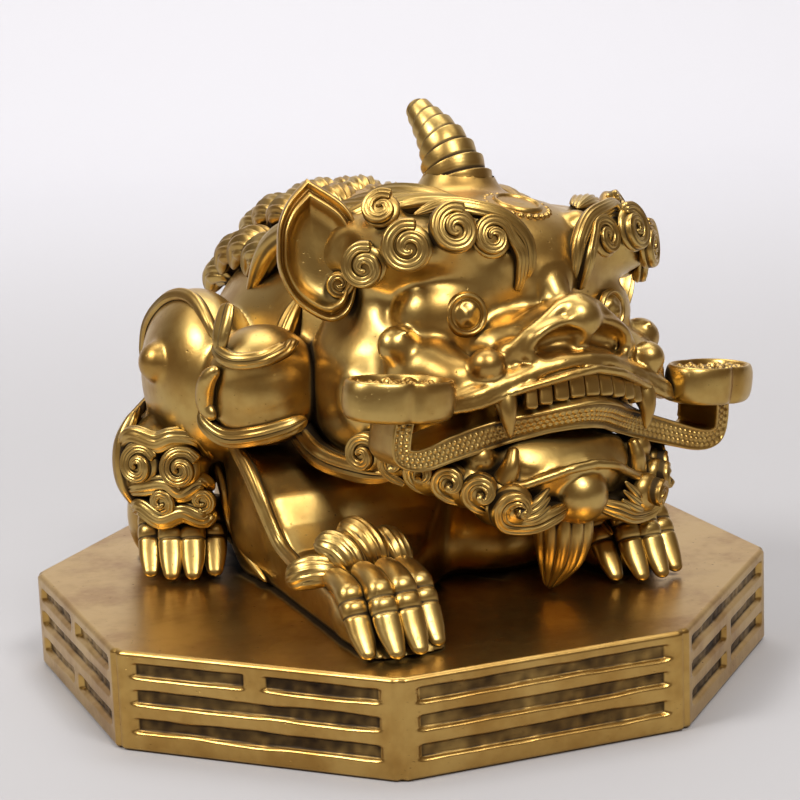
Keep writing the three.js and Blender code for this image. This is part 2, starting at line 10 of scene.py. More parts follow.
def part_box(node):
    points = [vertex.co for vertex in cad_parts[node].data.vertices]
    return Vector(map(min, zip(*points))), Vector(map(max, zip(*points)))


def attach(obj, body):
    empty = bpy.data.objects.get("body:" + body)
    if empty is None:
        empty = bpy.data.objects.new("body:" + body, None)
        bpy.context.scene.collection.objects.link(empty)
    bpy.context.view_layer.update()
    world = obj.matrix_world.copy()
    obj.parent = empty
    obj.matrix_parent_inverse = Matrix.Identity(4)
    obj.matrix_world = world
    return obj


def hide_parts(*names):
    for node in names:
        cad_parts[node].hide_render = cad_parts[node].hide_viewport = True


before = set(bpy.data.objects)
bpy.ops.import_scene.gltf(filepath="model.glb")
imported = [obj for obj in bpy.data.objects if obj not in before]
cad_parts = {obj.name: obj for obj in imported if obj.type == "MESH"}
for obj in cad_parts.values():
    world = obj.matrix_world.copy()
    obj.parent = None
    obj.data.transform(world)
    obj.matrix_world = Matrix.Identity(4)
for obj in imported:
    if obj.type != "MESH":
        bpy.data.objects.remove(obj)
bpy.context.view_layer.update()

bl_info = {
    "name": "Trigram Beast Figure",
    "version": (1, 0, 0),
    "blender": (4, 5, 0),
    "location": "View3D > Sidebar > Figure",
    "description": "Builds the carved surface and brass finish of a beast figure over its packed solids",
    "category": "Add Mesh",
}

# Shapes are worked out in millimetres, and MM turns them into the scene's metres
MM = 0.001
# Distance of a place that no form is near
FAR = 1e3
PLINTH_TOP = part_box("trigram_plinth")[1].z / MM
PLINTH_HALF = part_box("trigram_plinth")[1].x / MM
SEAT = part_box("beast")[0].z / MM
HEAD_CENTRE = np.array([18.3, -10.9, 82.4])
HEAD_TURN = math.radians(14)
HEAD_TILT = math.radians(6.5)
# Middle and half-widths of the trunk's main ellipsoid
TRUNK = (0, 25, 56), (34.5, 41, 39)
# Outer tips of the first and the last toe of each paw, and which way the paw heads
PAWS = [
    ((-32.6, -64.2), (-17.4, -62.8), 0.0),
    ((33.4, -40.4), (47.6, -40.6), 0.0),
    ((-54, 11.6), (-41.4, 5.4), -0.34),
    ((54, 11.6), (41.4, 5.4), 0.34),
]


def turned(axis, angle):
    """Matrix that turns a column vector about one axis."""
    return np.array(Matrix.Rotation(angle, 3, axis))


HEAD_AXES = turned("Z", HEAD_TURN) @ turned("Y", HEAD_TILT)
MIRROR = np.diag([-1.0, 1.0, 1.0])


# Curves and frames


def unit(vectors):
    """Each vector divided by its length."""
    vectors = np.asarray(vectors, float)
    return vectors / np.maximum(np.linalg.norm(vectors, axis=-1, keepdims=True), 1e-9)


def eased(values, count):
    """Values at even steps of a uniform Catmull-Rom line through the given ones: between b and c, with a
    before and d after, half of 2b + (c - a) t + (2a - 5b + 4c - d) t^2 + (3b - a - 3c + d) t^3."""
    knots = np.asarray(values, float)
    if len(knots) == 1:
        return np.repeat(knots, count, axis=0)
    ends = 2 * knots[0] - knots[1], 2 * knots[-1] - knots[-2]
    knots = np.concatenate([ends[:1], knots, ends[1:]])
    reached = np.linspace(0, len(knots) - 3, count)
    first = np.minimum(reached.astype(int), len(knots) - 4)
    t = (reached - first).reshape((-1,) + (1,) * (knots.ndim - 1))
    a, b, c, d = (knots[first + k] for k in range(4))
    return 0.5 * (2 * b + (c - a) * t + (2 * a - 5 * b + 4 * c - d) * t**2 + (3 * b - a - 3 * c + d) * t**3)


def path(knots, count):
    """Points evenly spaced along the smooth line through the knots."""
    fine = eased(knots, 12 * len(knots))
    reach = np.concatenate([[0], np.cumsum(np.linalg.norm(np.diff(fine, axis=0), axis=1))])
    spots = np.linspace(0, reach[-1], count)
    return np.stack([np.interp(spots, reach, fine[:, k]) for k in range(3)], -1)


def wave(points, length, seed):
    """Smooth unevenness between about -1 and 1: a sum of plane waves in seeded directions."""
    rng = np.random.default_rng(seed)
    total = np.zeros(np.asarray(points).shape[:-1])
    for _ in range(10):
        direction = unit(rng.normal(size=3)) * 2 * np.pi / (length * rng.uniform(0.7, 1.5))
        total += np.sin(points @ direction + rng.uniform(0, 6.28))
    return total / 4.5


def furrow(phase):
    """1 in the groove at whole numbers of the phase, 0 on the crests between: 1 - |sin(pi phase)|^0.75."""
    return 1 - np.abs(np.sin(np.pi * phase)) ** 0.75


def step(value, low, high):
    """Smooth rise from 0 at low to 1 at high: t^2 (3 - 2t), t being the share of the way."""
    t = np.clip((value - low) / (high - low), 0, 1)
    return t * t * (3 - 2 * t)


# Surfaces


class Form:
    """Points, quads and triangles of one closed surface, and how deep in a groove each point lies, which the
    brass darkens as tarnish and painted shade.
    """

    def __init__(self, points, quads, tris, groove):
        self.points, self.quads, self.tris, self.groove = points, quads, tris, groove

    def faced(self):
        """The same surface with its faces pointing out, by the sign of its volume."""
        p = self.points
        fans = np.concatenate([self.quads[:, [0, 1, 2]], self.quads[:, [0, 2, 3]], self.tris])
        volume = np.einsum("ij,ij->i", p[fans[:, 0]], np.cross(p[fans[:, 1]], p[fans[:, 2]])).sum()
        if volume < 0:
            self.quads, self.tris = self.quads[:, ::-1], self.tris[:, ::-1]
        return self

    def moved(self, matrix=np.eye(3), origin=(0, 0, 0)):
        """A copy with every point turned by the matrix and then shifted by the origin."""
        moved = self.points @ np.asarray(matrix).T + np.asarray(origin)
        return Form(moved, self.quads, self.tris, self.groove).faced()


def joined(forms):
    """Several forms as one, their points numbered on."""
    starts = np.cumsum([0] + [len(form.points) for form in forms[:-1]])
    return Form(
        np.concatenate([form.points for form in forms]),
        np.concatenate([form.quads + start for form, start in zip(forms, starts)]),
        np.concatenate([form.tris + start for form, start in zip(forms, starts)]),
        np.concatenate([form.groove for form in forms]),
    )


def both_sides(forms):
    """The forms and their images across the middle plane."""
    return list(forms) + [form.moved(MIRROR) for form in forms]


def on_head(forms):
    """Forms made about the head's centre, put where the turned head is."""
    return [form.moved(HEAD_AXES, HEAD_CENTRE) for form in forms]


def closed_grid(grid, groove=None):
    """Closed surface from rings of points: rows follow one another, columns go round, and a point closes
    each end."""
    rows, columns = grid.shape[:2]
    points = np.concatenate([grid.reshape(-1, 3), grid[:1].mean(1), grid[-1:].mean(1)])
    index = np.arange(rows * columns).reshape(rows, columns)
    after = np.roll(index, -1, axis=1)
    quads = np.stack([index[:-1], after[:-1], after[1:], index[1:]], -1).reshape(-1, 4)
    ends = np.full(columns, rows * columns)
    tris = np.concatenate(
        [np.stack([after[0], index[0], ends], -1), np.stack([index[-1], after[-1], ends + 1], -1)]
    )
    depth = np.zeros((rows, columns)) if groove is None else np.broadcast_to(groove, (rows, columns))
    depth = np.concatenate([depth.ravel(), [depth[0].mean(), depth[-1].mean()]])
    return Form(points, quads, tris, depth).faced()


def carried(line, up, sideways, outward, groove=None):
    """Profile carried along a line: each ring adds its sideways and outward lengths along two axes
    square to the line, where outward is the part of `up` that is square to it."""
    along = unit(np.gradient(line, axis=0))
    across = unit(np.cross(np.broadcast_to(np.asarray(up, float), line.shape), along))
    out = np.cross(along, across)
    grid = line[:, None] + across[:, None] * sideways[..., None] + out[:, None] * outward[..., None]
    return closed_grid(grid, groove)


def rounded_ends(count, share):
    """Factor that closes a tube at both ends along a quarter circle, over a share of its length:
    root(1 - (1 - way in)^2)."""
    t = np.linspace(0, 1, count)
    near = np.clip(np.minimum(t, 1 - t) / share, 0, 1)
    return np.sqrt(np.maximum(1 - (1 - near) ** 2, 0.0004))


def lock(knots, wide, high, up, strands, depth=0.42, count=60, twist=0.0, ends=0.1, around=None, square=1.0):
    """Lock of hair, cord or cuff: an oval tube along a line, `wide` across and `high` outwards, with
    grooves between its strands. Across it, height = sin(angle)^square x (1 - depth x furrow(strand
    number)); the strands turn by `twist` of their spacing, and `ends` is the share of the line that each
    end rounds off."""
    around = around or max(16, 8 * strands)
    angle = np.linspace(0, 2 * np.pi, around, endpoint=False)[None]
    closing = rounded_ends(count, ends)[:, None]
    wide = eased(wide, count)[:, None] * closing
    high = eased(high, count)[:, None] * closing
    turn = twist * np.linspace(0, 1, count)[:, None]
    lines = furrow((np.cos(angle) * 0.5 + 0.5) * strands + turn) if strands > 1 else 0 * angle
    lines = np.broadcast_to(lines, (count, around))
    sideways = wide * np.cos(angle) * (1 - 0.25 * depth * lines)
    outward = high * np.sign(np.sin(angle)) * np.abs(np.sin(angle)) ** square * (1 - depth * lines)
    return carried(path(knots, count), up, sideways, outward, lines * min(1, 3 * depth))


def lump(at, half, rows=20, columns=32, power=1.0):
    """Ball with three half-widths, from sines and cosines of two angles; a power under 1 squares it off."""
    down = np.linspace(0.02, np.pi - 0.02, rows)[:, None]
    turn = np.linspace(0, 2 * np.pi, columns, endpoint=False)[None]

    def squared(value):
        """Size of the value to the power, with its own sign."""
        return np.sign(value) * np.abs(value) ** power

    grid = np.stack(
        [
            squared(np.sin(down)) * squared(np.cos(turn)),
            squared(np.sin(down)) * squared(np.sin(turn)),
            squared(np.cos(down)) + 0 * turn,
        ],
        -1,
    )
    return closed_grid(np.asarray(at) + grid * np.asarray(half))


def facing_axes(facing):
    """Matrix whose columns point right, up and out for something that faces this way."""
    out = unit(facing)
    right = unit(np.cross([0, 0, 1], out) + (1e-6, 0, 0))
    return np.stack([right, np.cross(out, right), out], -1)


# Distance fields for the fused casting


def weighed(grid, place):
    """Value of a grid at places counted in its cells: each of the eight cells around a place counts by the
    product of (1 - how far off it is) on the three axes."""
    base = place.astype(int)
    part = place - base
    total = 0
    for corner in np.ndindex(2, 2, 2):
        weight = np.prod(np.where(corner, part, 1 - part), -1)
        total = total + weight * grid[tuple(np.moveaxis(base + corner, -1, 0))]
    return total


class Field:
    """Distance to the fused casting on a box of cubes, negative inside. Forms join it by a smooth minimum:
    min(a, b) - (blend - |a - b|)^2 / (4 blend) where they come within the blend of each other."""

    def __init__(self, low, high, size):
        """An empty box between two corners, in cubes of one size."""
        self.low, self.size = np.asarray(low, float), size
        self.axes = [np.arange(a, b + size, size) for a, b in zip(low, high)]
        self.value = np.full([len(a) for a in self.axes], FAR, np.float32)

    def window(self, low, high):
        """Slices and points of the cubes inside a box."""
        spans = []
        for axis, a, b in zip(self.axes, low, high):
            start, stop = np.searchsorted(axis, a), np.searchsorted(axis, b)
            spans.append(slice(max(start - 1, 0), min(stop + 1, len(axis))))
        grid = np.meshgrid(*[axis[s] for axis, s in zip(self.axes, spans)], indexing="ij")
        return tuple(spans), np.stack(grid, -1)

    def add(self, form, blend=2.0):
        """Joins a form by the smooth minimum."""
        low, high, distance = form
        spans, points = self.window(low - blend, high + blend)
        if 0 in points.shape:
            return
        a, b = self.value[spans], distance(points)
        near = np.clip(1 - np.abs(a - b) / blend, 0, 1)
        self.value[spans] = np.minimum(a, b) - near**2 * blend / 4

    def cut(self, form, blend=1.0):
        """Takes a form away by the smooth maximum of the distance and the form's own, turned inside out."""
        low, high, distance = form
        spans, points = self.window(low - blend, high + blend)
        a, b = self.value[spans], -distance(points)
        near = np.clip(1 - np.abs(a - b) / blend, 0, 1)
        self.value[spans] = np.maximum(a, b) + near**2 * blend / 4

    def press(self, form, depth, width):
        """Raises the surface by -depth, or sinks it by depth, with a bell-shaped edge around a line."""
        low, high, distance = form
        spans, points = self.window(low - 3 * width, high + 3 * width)
        self.value[spans] += depth * np.exp(-((np.maximum(distance(points), 0) / width) ** 2))

    def sample(self, points):
        """Distance at any points, from the eight cubes around each, and far away outside the box."""
        place = (points - self.low) / self.size
        limit = np.array(self.value.shape) - 2
        inside = ((place >= 0) & (place < limit)).all(-1)
        return np.where(inside, weighed(self.value, np.clip(place, 0, limit)), FAR)

    def surface(self, smooth=2):
        """Surface where the distance is zero: a point in each cube that the surface crosses, at the mean
        of its crossings, and a quad round each crossed edge. Each smoothing moves the points half way to
        their neighbours' mean, then by 0.52 of the way back out, so that the surface doesn't shrink."""
        value, shape = self.value, np.array(self.value.shape)
        strides = np.array([shape[1] * shape[2], shape[2], 1])
        cells, spots = [], []
        for axis in range(3):
            a = np.moveaxis(np.moveaxis(value, axis, 0)[:-1], 0, axis)
            b = np.moveaxis(np.moveaxis(value, axis, 0)[1:], 0, axis)
            cross = np.argwhere((a < 0) != (b < 0))
            cross = cross[((cross > 0) & (cross < shape - 2)).all(1)]
            va, vb = a[tuple(cross.T)], b[tuple(cross.T)]
            spot = cross.astype(float)
            spot[:, axis] += va / (va - vb)
            u, v = [k for k in range(3) if k != axis]
            shift = np.zeros((4, 3), int)
            shift[[1, 2], u] = 1
            shift[[2, 3], v] = 1
            around = (cross[:, None] - shift) @ strides
            flip = (va < 0) == (axis != 1)
            around[flip] = around[flip][:, ::-1]
            cells.append(around)
            spots.append(np.repeat(spot, 4, axis=0))
        used, ids = np.unique(np.concatenate(cells), return_inverse=True)
        ids = ids.ravel()
        quads = ids.reshape(-1, 4)
        spots = np.concatenate(spots)
        count = np.bincount(ids, minlength=len(used))
        points = np.stack([np.bincount(ids, spots[:, k], len(used)) / count for k in range(3)], -1)
        edges = np.concatenate([quads[:, [0, 1]], quads[:, [1, 2]], quads[:, [2, 3]], quads[:, [3, 0]]])
        degree = np.bincount(edges.ravel(), minlength=len(points))[:, None]
        for turn in range(2 * smooth):
            total = np.stack(
                [
                    np.bincount(edges[:, 0], points[edges[:, 1], k], len(points))
                    + np.bincount(edges[:, 1], points[edges[:, 0], k], len(points))
                    for k in range(3)
                ],
                -1,
            )
            points = points + (0.5 if turn % 2 == 0 else -0.52) * (total / degree - points)
        points = self.low + points * self.size
        none = np.zeros((0, 3), int)
        return Form(points, quads, none, np.zeros(len(points))).faced()


def ball(at, half, turn=(0, 0, 0)):
    """Ellipsoid: its distance is close to k (k - 1) / g, k being the point's length in half-widths."""
    at, half = np.asarray(at, float), np.asarray(half, float)
    axes = turned("X", turn[0]) @ turned("Y", turn[1]) @ turned("Z", turn[2])

    def distance(points):
        """k (k - 1) / g, with g the length of the point over the squared half-widths."""
        q = (points - at) @ axes
        k = np.linalg.norm(q / half, axis=-1)
        return k * (k - 1) / np.maximum(np.linalg.norm(q / half**2, axis=-1), 1e-6)

    reach = half.max() if any(turn) else half
    return at - reach, at + reach, distance


def rod(knots, radius, flat=1.0, count=None):
    """Bent tapering rod: the least distance to any of its short straight stretches, less the radius there.
    A flat under 1 makes it that much lower than wide."""
    count = count or 6 * len(knots)
    line = path(knots, count)
    radius = eased(radius, count)

    def distance(points):
        """Least over the stretches of the gap to the nearest place on each, less the radius there."""
        best = np.full(points.shape[:-1], FAR)
        for a, b, ra, rb in zip(line[:-1], line[1:], radius[:-1], radius[1:]):
            span = b - a
            t = np.clip((points - a) @ span / max(span @ span, 1e-9), 0, 1)
            gap = points - a - t[..., None] * span
            gap[..., 2] /= flat
            best = np.minimum(best, np.linalg.norm(gap, axis=-1) - ra - t * (rb - ra))
        return best * min(flat, 1)

    reach = radius.max()
    return line.min(0) - reach, line.max(0) + reach, distance


# Putting pieces in the scene

# Objects of the visible pieces, in the order in which they are made
SEEN = []


def store(mesh, name, values):
    """One number per point of the mesh, as an attribute that a material reads."""
    mesh.attributes.new(name, "FLOAT", "POINT").data.foreach_set("value", values.astype(np.float32))


def put(name, form, replaces=None):
    """The form as a smooth-shaded mesh object in metres that rides on the one body, with its groove
    attribute."""
    mesh = bpy.data.meshes.new(name)
    mesh.vertices.add(len(form.points))
    mesh.vertices.foreach_set("co", (form.points * MM).astype(np.float32).ravel())
    corners = np.concatenate([form.quads.ravel(), form.tris.ravel()]).astype(np.int32)
    sizes = np.concatenate([np.full(len(form.quads), 4), np.full(len(form.tris), 3)])
    mesh.loops.add(len(corners))
    mesh.loops.foreach_set("vertex_index", corners)
    mesh.polygons.add(len(sizes))
    mesh.polygons.foreach_set("loop_start", (np.cumsum(sizes) - sizes).astype(np.int32))
    mesh.polygons.foreach_set("use_smooth", np.ones(len(sizes), bool))
    mesh.update(calc_edges=True)
    store(mesh, "groove", form.groove)
    made = bpy.data.objects.new(name, mesh)
    bpy.context.scene.collection.objects.link(made)
    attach(made, "root")
    if replaces:
        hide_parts(replaces)
    SEEN.append(made)


# Fused casting of head and body

# Balls of ground under the curls of the brow: middle and radius
BROW_GROUND = [
    ((9.0, -16.8, 8.0), 3.4),
    ((12.0, -14.0, 14.6), 3.4),
    ((14.6, -15.6, 11.4), 3.6),
    ((23.4, -14.2, 12.6), 4.0),
    ((30.6, -10.6, 9.8), 4.2),
    ((34.6, -3.6, 5.8), 4.0),
    ((29.8, -2.6, 14.6), 4.0),
]


def head_casting(cell):
    """Field of the head about its own centre, on the half where x is positive, then mirrored: the smooth
    minimum of ellipsoids and rods, less the hollows pressed or cut into it."""
    half = Field((-3 * cell, -46, -50), (47, 50, 24), cell)
    fuse = half.add
    fuse(ball((0, 9, 0), (33, 29, 20.3)))
    fuse(ball((0, -6, 6), (24, 15, 12)), 8)
    fuse(ball((0, 30, 2), (30, 16, 18)), 6)
    fuse(ball((25, 5, 8), (12.5, 14, 9)), 5)
    fuse(ball((21, -7, 8.5), (15, 10.5, 7.4)), 4)
    fuse(ball((30, 3, -20), (8.5, 17, 16)), 6)
    fuse(ball((26, -12, -15), (9, 12, 8)), 5)
    fuse(ball((0, -18.6, -10), (18.5, 13.6, 8.6)), 4)
    # Shallow socket, then the broad eyeball in it with the fine edge of its lids
    socket = [(9, -20, 1.6), (15, -19, 5.6), (22, -17.5, 5.6), (29, -13.5, 2.5), (32, -11, -3)]
    half.press(rod(socket, [0.6]), 0.8, 3.6)
    half.press(rod([(30, -14, -9), (25, -18, -14), (18, -21, -13)], [0.6]), 0.5, 3.0)
    fuse(ball((20.6, -11.0, -4.6), (10.0, 7.7, 8.8), (0, 0, 0.24)), 2.2)
    # Cheek balls and the pimples by them
    fuse(ball((33.6, -12.6, -10.2), (4.6, 4.6, 4.5)), 2.2)
    fuse(ball((33.4, -15.4, -7.0), (1.2, 1.2, 0.8)), 0.4)
    fuse(ball((24.4, -22.8, -16), (6.0, 5.6, 5.0)), 3)
    fuse(ball((21.8, -28.6, -12.2), (3.7, 3.7, 3.6)), 1.6)
    fuse(ball((27.8, -24.2, -15.2), (1.4, 1.4, 1.3)), 0.7)
    # Jowl: a bright ridge round it, dark hollow under the ear
    half.press(rod([(36, -10, -12), (39, -4, -19), (37.5, -6, -26), (34, -12, -31)], [1.0]), -1.2, 3.0)
    half.press(rod([(39, 4, -7), (38, -4, -9), (35.5, -8.5, -12)], [1.6]), 3.0, 3.6)
    # Nose: an arched hood from wing to wing over the bulb, with a rough valley behind its edge
    fuse(rod([(0, -19, 4.4), (0, -23, 0.2), (0, -28, -3.2)], [4.6, 3.6, 3.4], 0.8), 3)
    fuse(ball((0, -26.5, -6.4), (13.5, 6.4, 6.4)), 1.5)
    arch = [
        (0, -30.2, 0.4), (4.2, -30.1, -0.7), (6.3, -30.0, -2.0), (10.0, -30.2, -4.4), (13.6, -29.8, -6.6),
        (15.6, -29.2, -8.6),
    ]
    fuse(rod(arch, [2.0, 1.9, 1.8, 1.7, 1.5, 1.1], count=50), 1.0)
    half.press(rod([(x + 1.2, y + 3.0, z + 2.2) for x, y, z in arch[1:]], [0.6], count=40), 1.2, 1.4)
    fuse(ball((0, -30.0, -3.2), (5.4, 5.4, 5.3)), 0.8)
    rim = [
        (3.0, -33.0, -2.6), (7.4, -32.4, -3.8), (9.9, -32.2, -4.9), (12.1, -31.6, -6.5),
        (13.0, -31.0, -8.3), (12.9, -31.2, -9.8), (11.6, -31.8, -11.0), (9.6, -32.2, -11.2),
    ]
    fuse(rod(rim, [0.8, 1.0, 1.2, 1.3, 1.4, 1.4, 1.2, 0.9], count=70), 0.8)
    half.cut(ball((6.8, -34.2, -7.7), (5.9, 5.2, 3.3), (0, 0.28, 0.16)), 0.5)
    fuse(rod([(0, -32.4, -8.8), (0, -31.0, -5)], [1.4, 2.2]), 1.0)
    fuse(ball((14.8, -27.2, -10.6), (3.4, 3.2, 3.2)), 2)
    fold = [
        (17.0, -28.2, -8.6), (16.0, -29.4, -11.4), (14.0, -30.9, -13.0), (10.8, -32.2, -12.8),
        (6.4, -32.8, -11.6), (3.0, -33.2, -10.2), (0, -33.3, -9.5),
    ]
    fuse(rod(fold, [0.5], count=60), 0.7)
    half.press(rod([(x, y, z + 1.1) for x, y, z in fold[2:]], [0.2], count=50), 0.5, 0.7)
    # Upper lip: a band that leans forward to a rolled lower edge
    lip = [
        (0, -36.4, -11.4), (4.8, -36, -11.9), (8.1, -35.3, -12.7), (12.2, -34, -14),
        (16.8, -33.4, -15.5), (21.2, -32.6, -17.1), (25.6, -31.9, -18.6), (29.9, -29, -20.3),
        (32.4, -26.5, -20.3),
    ]
    behind = [(0, -30, -13)] + [(x, y + 4.0, z) for x, y, z in lip[1:]]
    fuse(rod(behind, [3.2, 3.4, 3.4, 3.2, 3.0, 3.0, 2.8, 2.2, 1.4], 0.8), 1.6)
    middle = [(x, y + 1.9, z + 0.3) for x, y, z in lip]
    fuse(rod(middle, [1.9, 1.9, 1.9, 1.9, 1.8, 1.8, 1.6, 1.2, 0.8], count=60), 0.8)
    low = [
        (0, -37.5, -12.4), (6.3, -37.3, -13.4), (9.7, -36.4, -14.4), (13.3, -34.9, -15.6),
        (17, -33.4, -16.9), (21, -32.2, -18.4), (25.4, -31.2, -20), (30, -28.2, -21.2),
        (32.6, -26.2, -20.8),
    ]
    fuse(rod(low, [1.0, 1.0, 0.95, 0.9, 0.9, 0.85, 0.8, 0.8, 0.7], count=70), 0.7)
    fuse(ball((0, -27.6, -16), (18.5, 7.6, 5.2)), 1.5)
    # Lower jaw: a smooth floor that rises behind the lip, the sharp lip and the chin ball
    fuse(ball((0, -19, -33.5), (25, 16, 7)), 2)
    fuse(ball((0, -6, -24), (26, 16, 13)), 3)
    fuse(ball((0, -25.4, -34), (18, 11.4, 8.2)), 1.5)
    fuse(ball((0, -31.6, -32.0), (14.5, 5.6, 2.6), (0.61, 0, 0)), 1.5)
    fuse(ball((0, -29.0, -29.8), (15, 5.2, 3.3), (0.5, 0, 0)), 2)
    low_lip = [
        (0, -39.0, -32.2), (5.9, -38.6, -33.0), (9.3, -37.3, -34.3), (12.6, -36.0, -35.5),
        (15.8, -34.6, -36.6), (19, -31.5, -36.4),
    ]
    jaw = [(0, -32.4, -35.2), (6, -31.8, -36), (12, -30, -38), (18, -27, -38.4), (25, -20, -34.6)]
    fuse(rod(jaw, [4.2, 4.0, 3.6, 3.6, 3.4]), 2)
    fuse(rod([(x, y + 3.2, z - 0.8) for x, y, z in low_lip], [1.9, 1.9, 1.8, 1.7, 1.6, 1.6], count=50), 1.4)
    fuse(rod([(x, y, z + 0.3) for x, y, z in low_lip], [1.05], count=50), 0.8)
    fuse(ball((21.2, -27.2, -31.6), (3.4, 3.6, 3.4)), 2.4)
    fuse(ball((0, -34.0, -39.2), (6.5, 6.4, 6.3)), 0.7)
    fuse(ball((18.2, -29.8, -40.2), (5.2, 5.0, 5.0)), 1.4)
    fuse(ball((23.6, -26.2, -37.4), (4.6, 4.6, 4.4)), 1.4)
    fuse(ball((28.4, -20.8, -35.6), (4.8, 4.8, 4.4)), 1.4)
    fuse(rod([(13, -32, -42.4), (7, -32.6, -43), (1, -32, -44)], [3.0, 2.6, 2]), 1.0)
    # Ground under the curls of the brow, and the roots of ear and horn
    for at, radius in BROW_GROUND:
        fuse(ball(at, (radius,) * 3), 1.6)
    fuse(rod([(26, 12, 1), (33, 11.6, 4), (37, 11.6, 6)], [7, 6, 3.0]), 3)
    fuse(rod([(0, 10, 12), (0, 12, 19)], [9.8, 8.8]), 3.5)
    half.cut(ball((42.6, 0.8, 8.2), (7.0, 7.4, 13), (0, 0, 0.47)), 1.0)
    full = Field((-47, -46, -50), (47, 50, 24), cell)
    image = half.value[3:]
    full.value = np.concatenate([image[:0:-1], image])
    full.axes[0] = np.arange(-len(image) + 1, len(image)) * cell
    full.low[0] = full.axes[0][0]
    return full


def fore_limb():
    """Near fore limb: the space under a top that falls to the paw, between an outer wall that leans in
    and an inner wall that swings across to the chest. Distance = 1.2 x log of the sum of exp(distance to
    each bound / 1.2)."""
    back = [-66, -60, -52, -46, -38, -30, -24, -19, -15, -9, -2, 11]
    crest = [21, 24, 28, 31, 32.2, 32.6, 33.6, 38, 43.5, 47.5, 50.5, 54]

    def distance(points):
        """Smooth greatest of the five bounds."""
        x, y, z = np.moveaxis(points, -1, 0)
        top = 0.75 * (z - np.interp(y, back, crest))
        outer = -37 + 0.165 * (50 - z) - x
        inner = 0.75 * (x - np.interp(y, [-66, -45, -35, -24, -14.5, -5], [-15, -14, -10, -2, 6, 12]))
        bounds = np.stack([top, outer, inner, y - 14, -65 - y]) / 1.2
        return 1.2 * np.log(np.exp(np.clip(bounds, -30, 30)).sum(0))

    return np.array([-40, -67, SEAT - 2]), np.array([14, 16, 54]), distance


def body_casting(cell):
    """Field of trunk, limbs and haunches: the smooth minimum of ellipsoids, rods and one wedge, then the
    greatest of that and the height under the seat, so that the casting is cut flat where it sits on the
    plinth."""
    field = Field((-60, -70, SEAT - 2), (60, 74, 104), cell)
    fuse = field.add
    fuse(ball(*TRUNK))
    fuse(ball((0, 22, 29), (34, 36, 16)), 8)
    fuse(ball((6, 6, 50), (25, 20, 28)), 8)
    # The chest is a flat plane down to the base
    x, y, z = np.meshgrid(*field.axes, indexing="ij")
    chest = -14.5 + 0.25 * (x - 7) - 0.3 * (z - SEAT) - y
    field.value = np.where((z < 66) & (y < 0), np.maximum(field.value, 0.9 * chest), field.value)
    fuse(ball((11, 8, 78), (31, 22, 21)), 8)
    fuse(fore_limb(), 2)
    far_limb = [(19, 14, 60), (24, 2, 44), (33.5, -12, 34), (41, -18, 29), (41, -28, 27)]
    fuse(rod(far_limb, [8, 13, 12, 10, 7.5]), 5)
    fuse(ball((17, -8, 27), (17, 15, 10)), 5)
    for side in (-1, 1):
        fuse(ball((side * 29, 6, 34), (7.5, 13, 16)), 4)
        fuse(ball((side * 23, 10, 61), (12, 14.5, 12)), 3)
        fuse(ball((side * 37.5, 20, 63.5), (12.5, 20, 19.5)), 1.5)
        fuse(ball((side * 31, -3, 65), (12.5, 12.5, 13)), 2)
        fuse(ball((side * 44.5, 25, 44), (10.5, 15, 12)), 2)
        fuse(ball((side * 45, 29, 31), (8.5, 9.5, 12)), 2)
        fuse(ball((side * 48.2, 15.8, 68.6), (4.5, 4.7, 4.7)), 1.0)
    fuse(ball((40.4, -9, 26), (8.4, 17, 9.5)), 4)
    fuse(ball((40.8, -21, 26), (8.0, 11, 7.6)), 3)
    for first, last, heading in PAWS:
        middle = (np.array(first) + last) / 2 + 14 * np.array([-math.sin(heading), math.cos(heading)])
        fuse(ball((middle[0], middle[1], SEAT + 4.6), (8.6, 9.0, 6.2), (0, 0, heading)), 2)
    for mirror in (1, -1):
        # Panel between the two bands on the shoulder, sunk
        panel = [(-42.6, -6.6, 65), (-38.6, -12, 64.8), (-33, -15.2, 65.4), (-28, -15, 66.4)]
        panel = [(mirror * x, y, z) for x, y, z in panel]
        field.press(rod(panel, [2.5, 3.5, 3.8, 3.8]), 1.2, 2.4)
    field.value = np.maximum(field.value, SEAT - z)
    return field


# Relief on the casting


def fluted(knots, radius, ridges, depth, count, ends, up, twist):
    """Tapering tube ridged all round: radius x (1 - depth x furrow(ridge number)), its ridges turned by
    `twist` of their spacing from end to end."""
    angle = np.linspace(0, 2 * np.pi, 10 * ridges, endpoint=False)[None]
    turn = twist * np.linspace(0, 1, count)[:, None]
    lines = furrow(angle / (2 * np.pi) * ridges + turn)
    reach = eased(radius, count)[:, None] * rounded_ends(count, ends)[:, None] * (1 - depth * lines)
    return carried(path(knots, count), up, reach * np.cos(angle), reach * np.sin(angle), lines)


def spun(at, facing, profile, columns=64, rows=60):
    """Profile of (radius, height) pairs spun round the way it faces, with the last pairs at its back:
    (radius cos a, radius sin a, height)."""
    line = eased(profile, rows)
    line[:, 0] = np.maximum(line[:, 0], 0.01)
    turn = np.linspace(0, 2 * np.pi, columns, endpoint=False)[None]
    radius, height = line[:, :1], line[:, 1:]
    grid = np.stack([radius * np.cos(turn), radius * np.sin(turn), height + 0 * turn], -1)
    return closed_grid(grid @ facing_axes(facing).T + np.asarray(at))


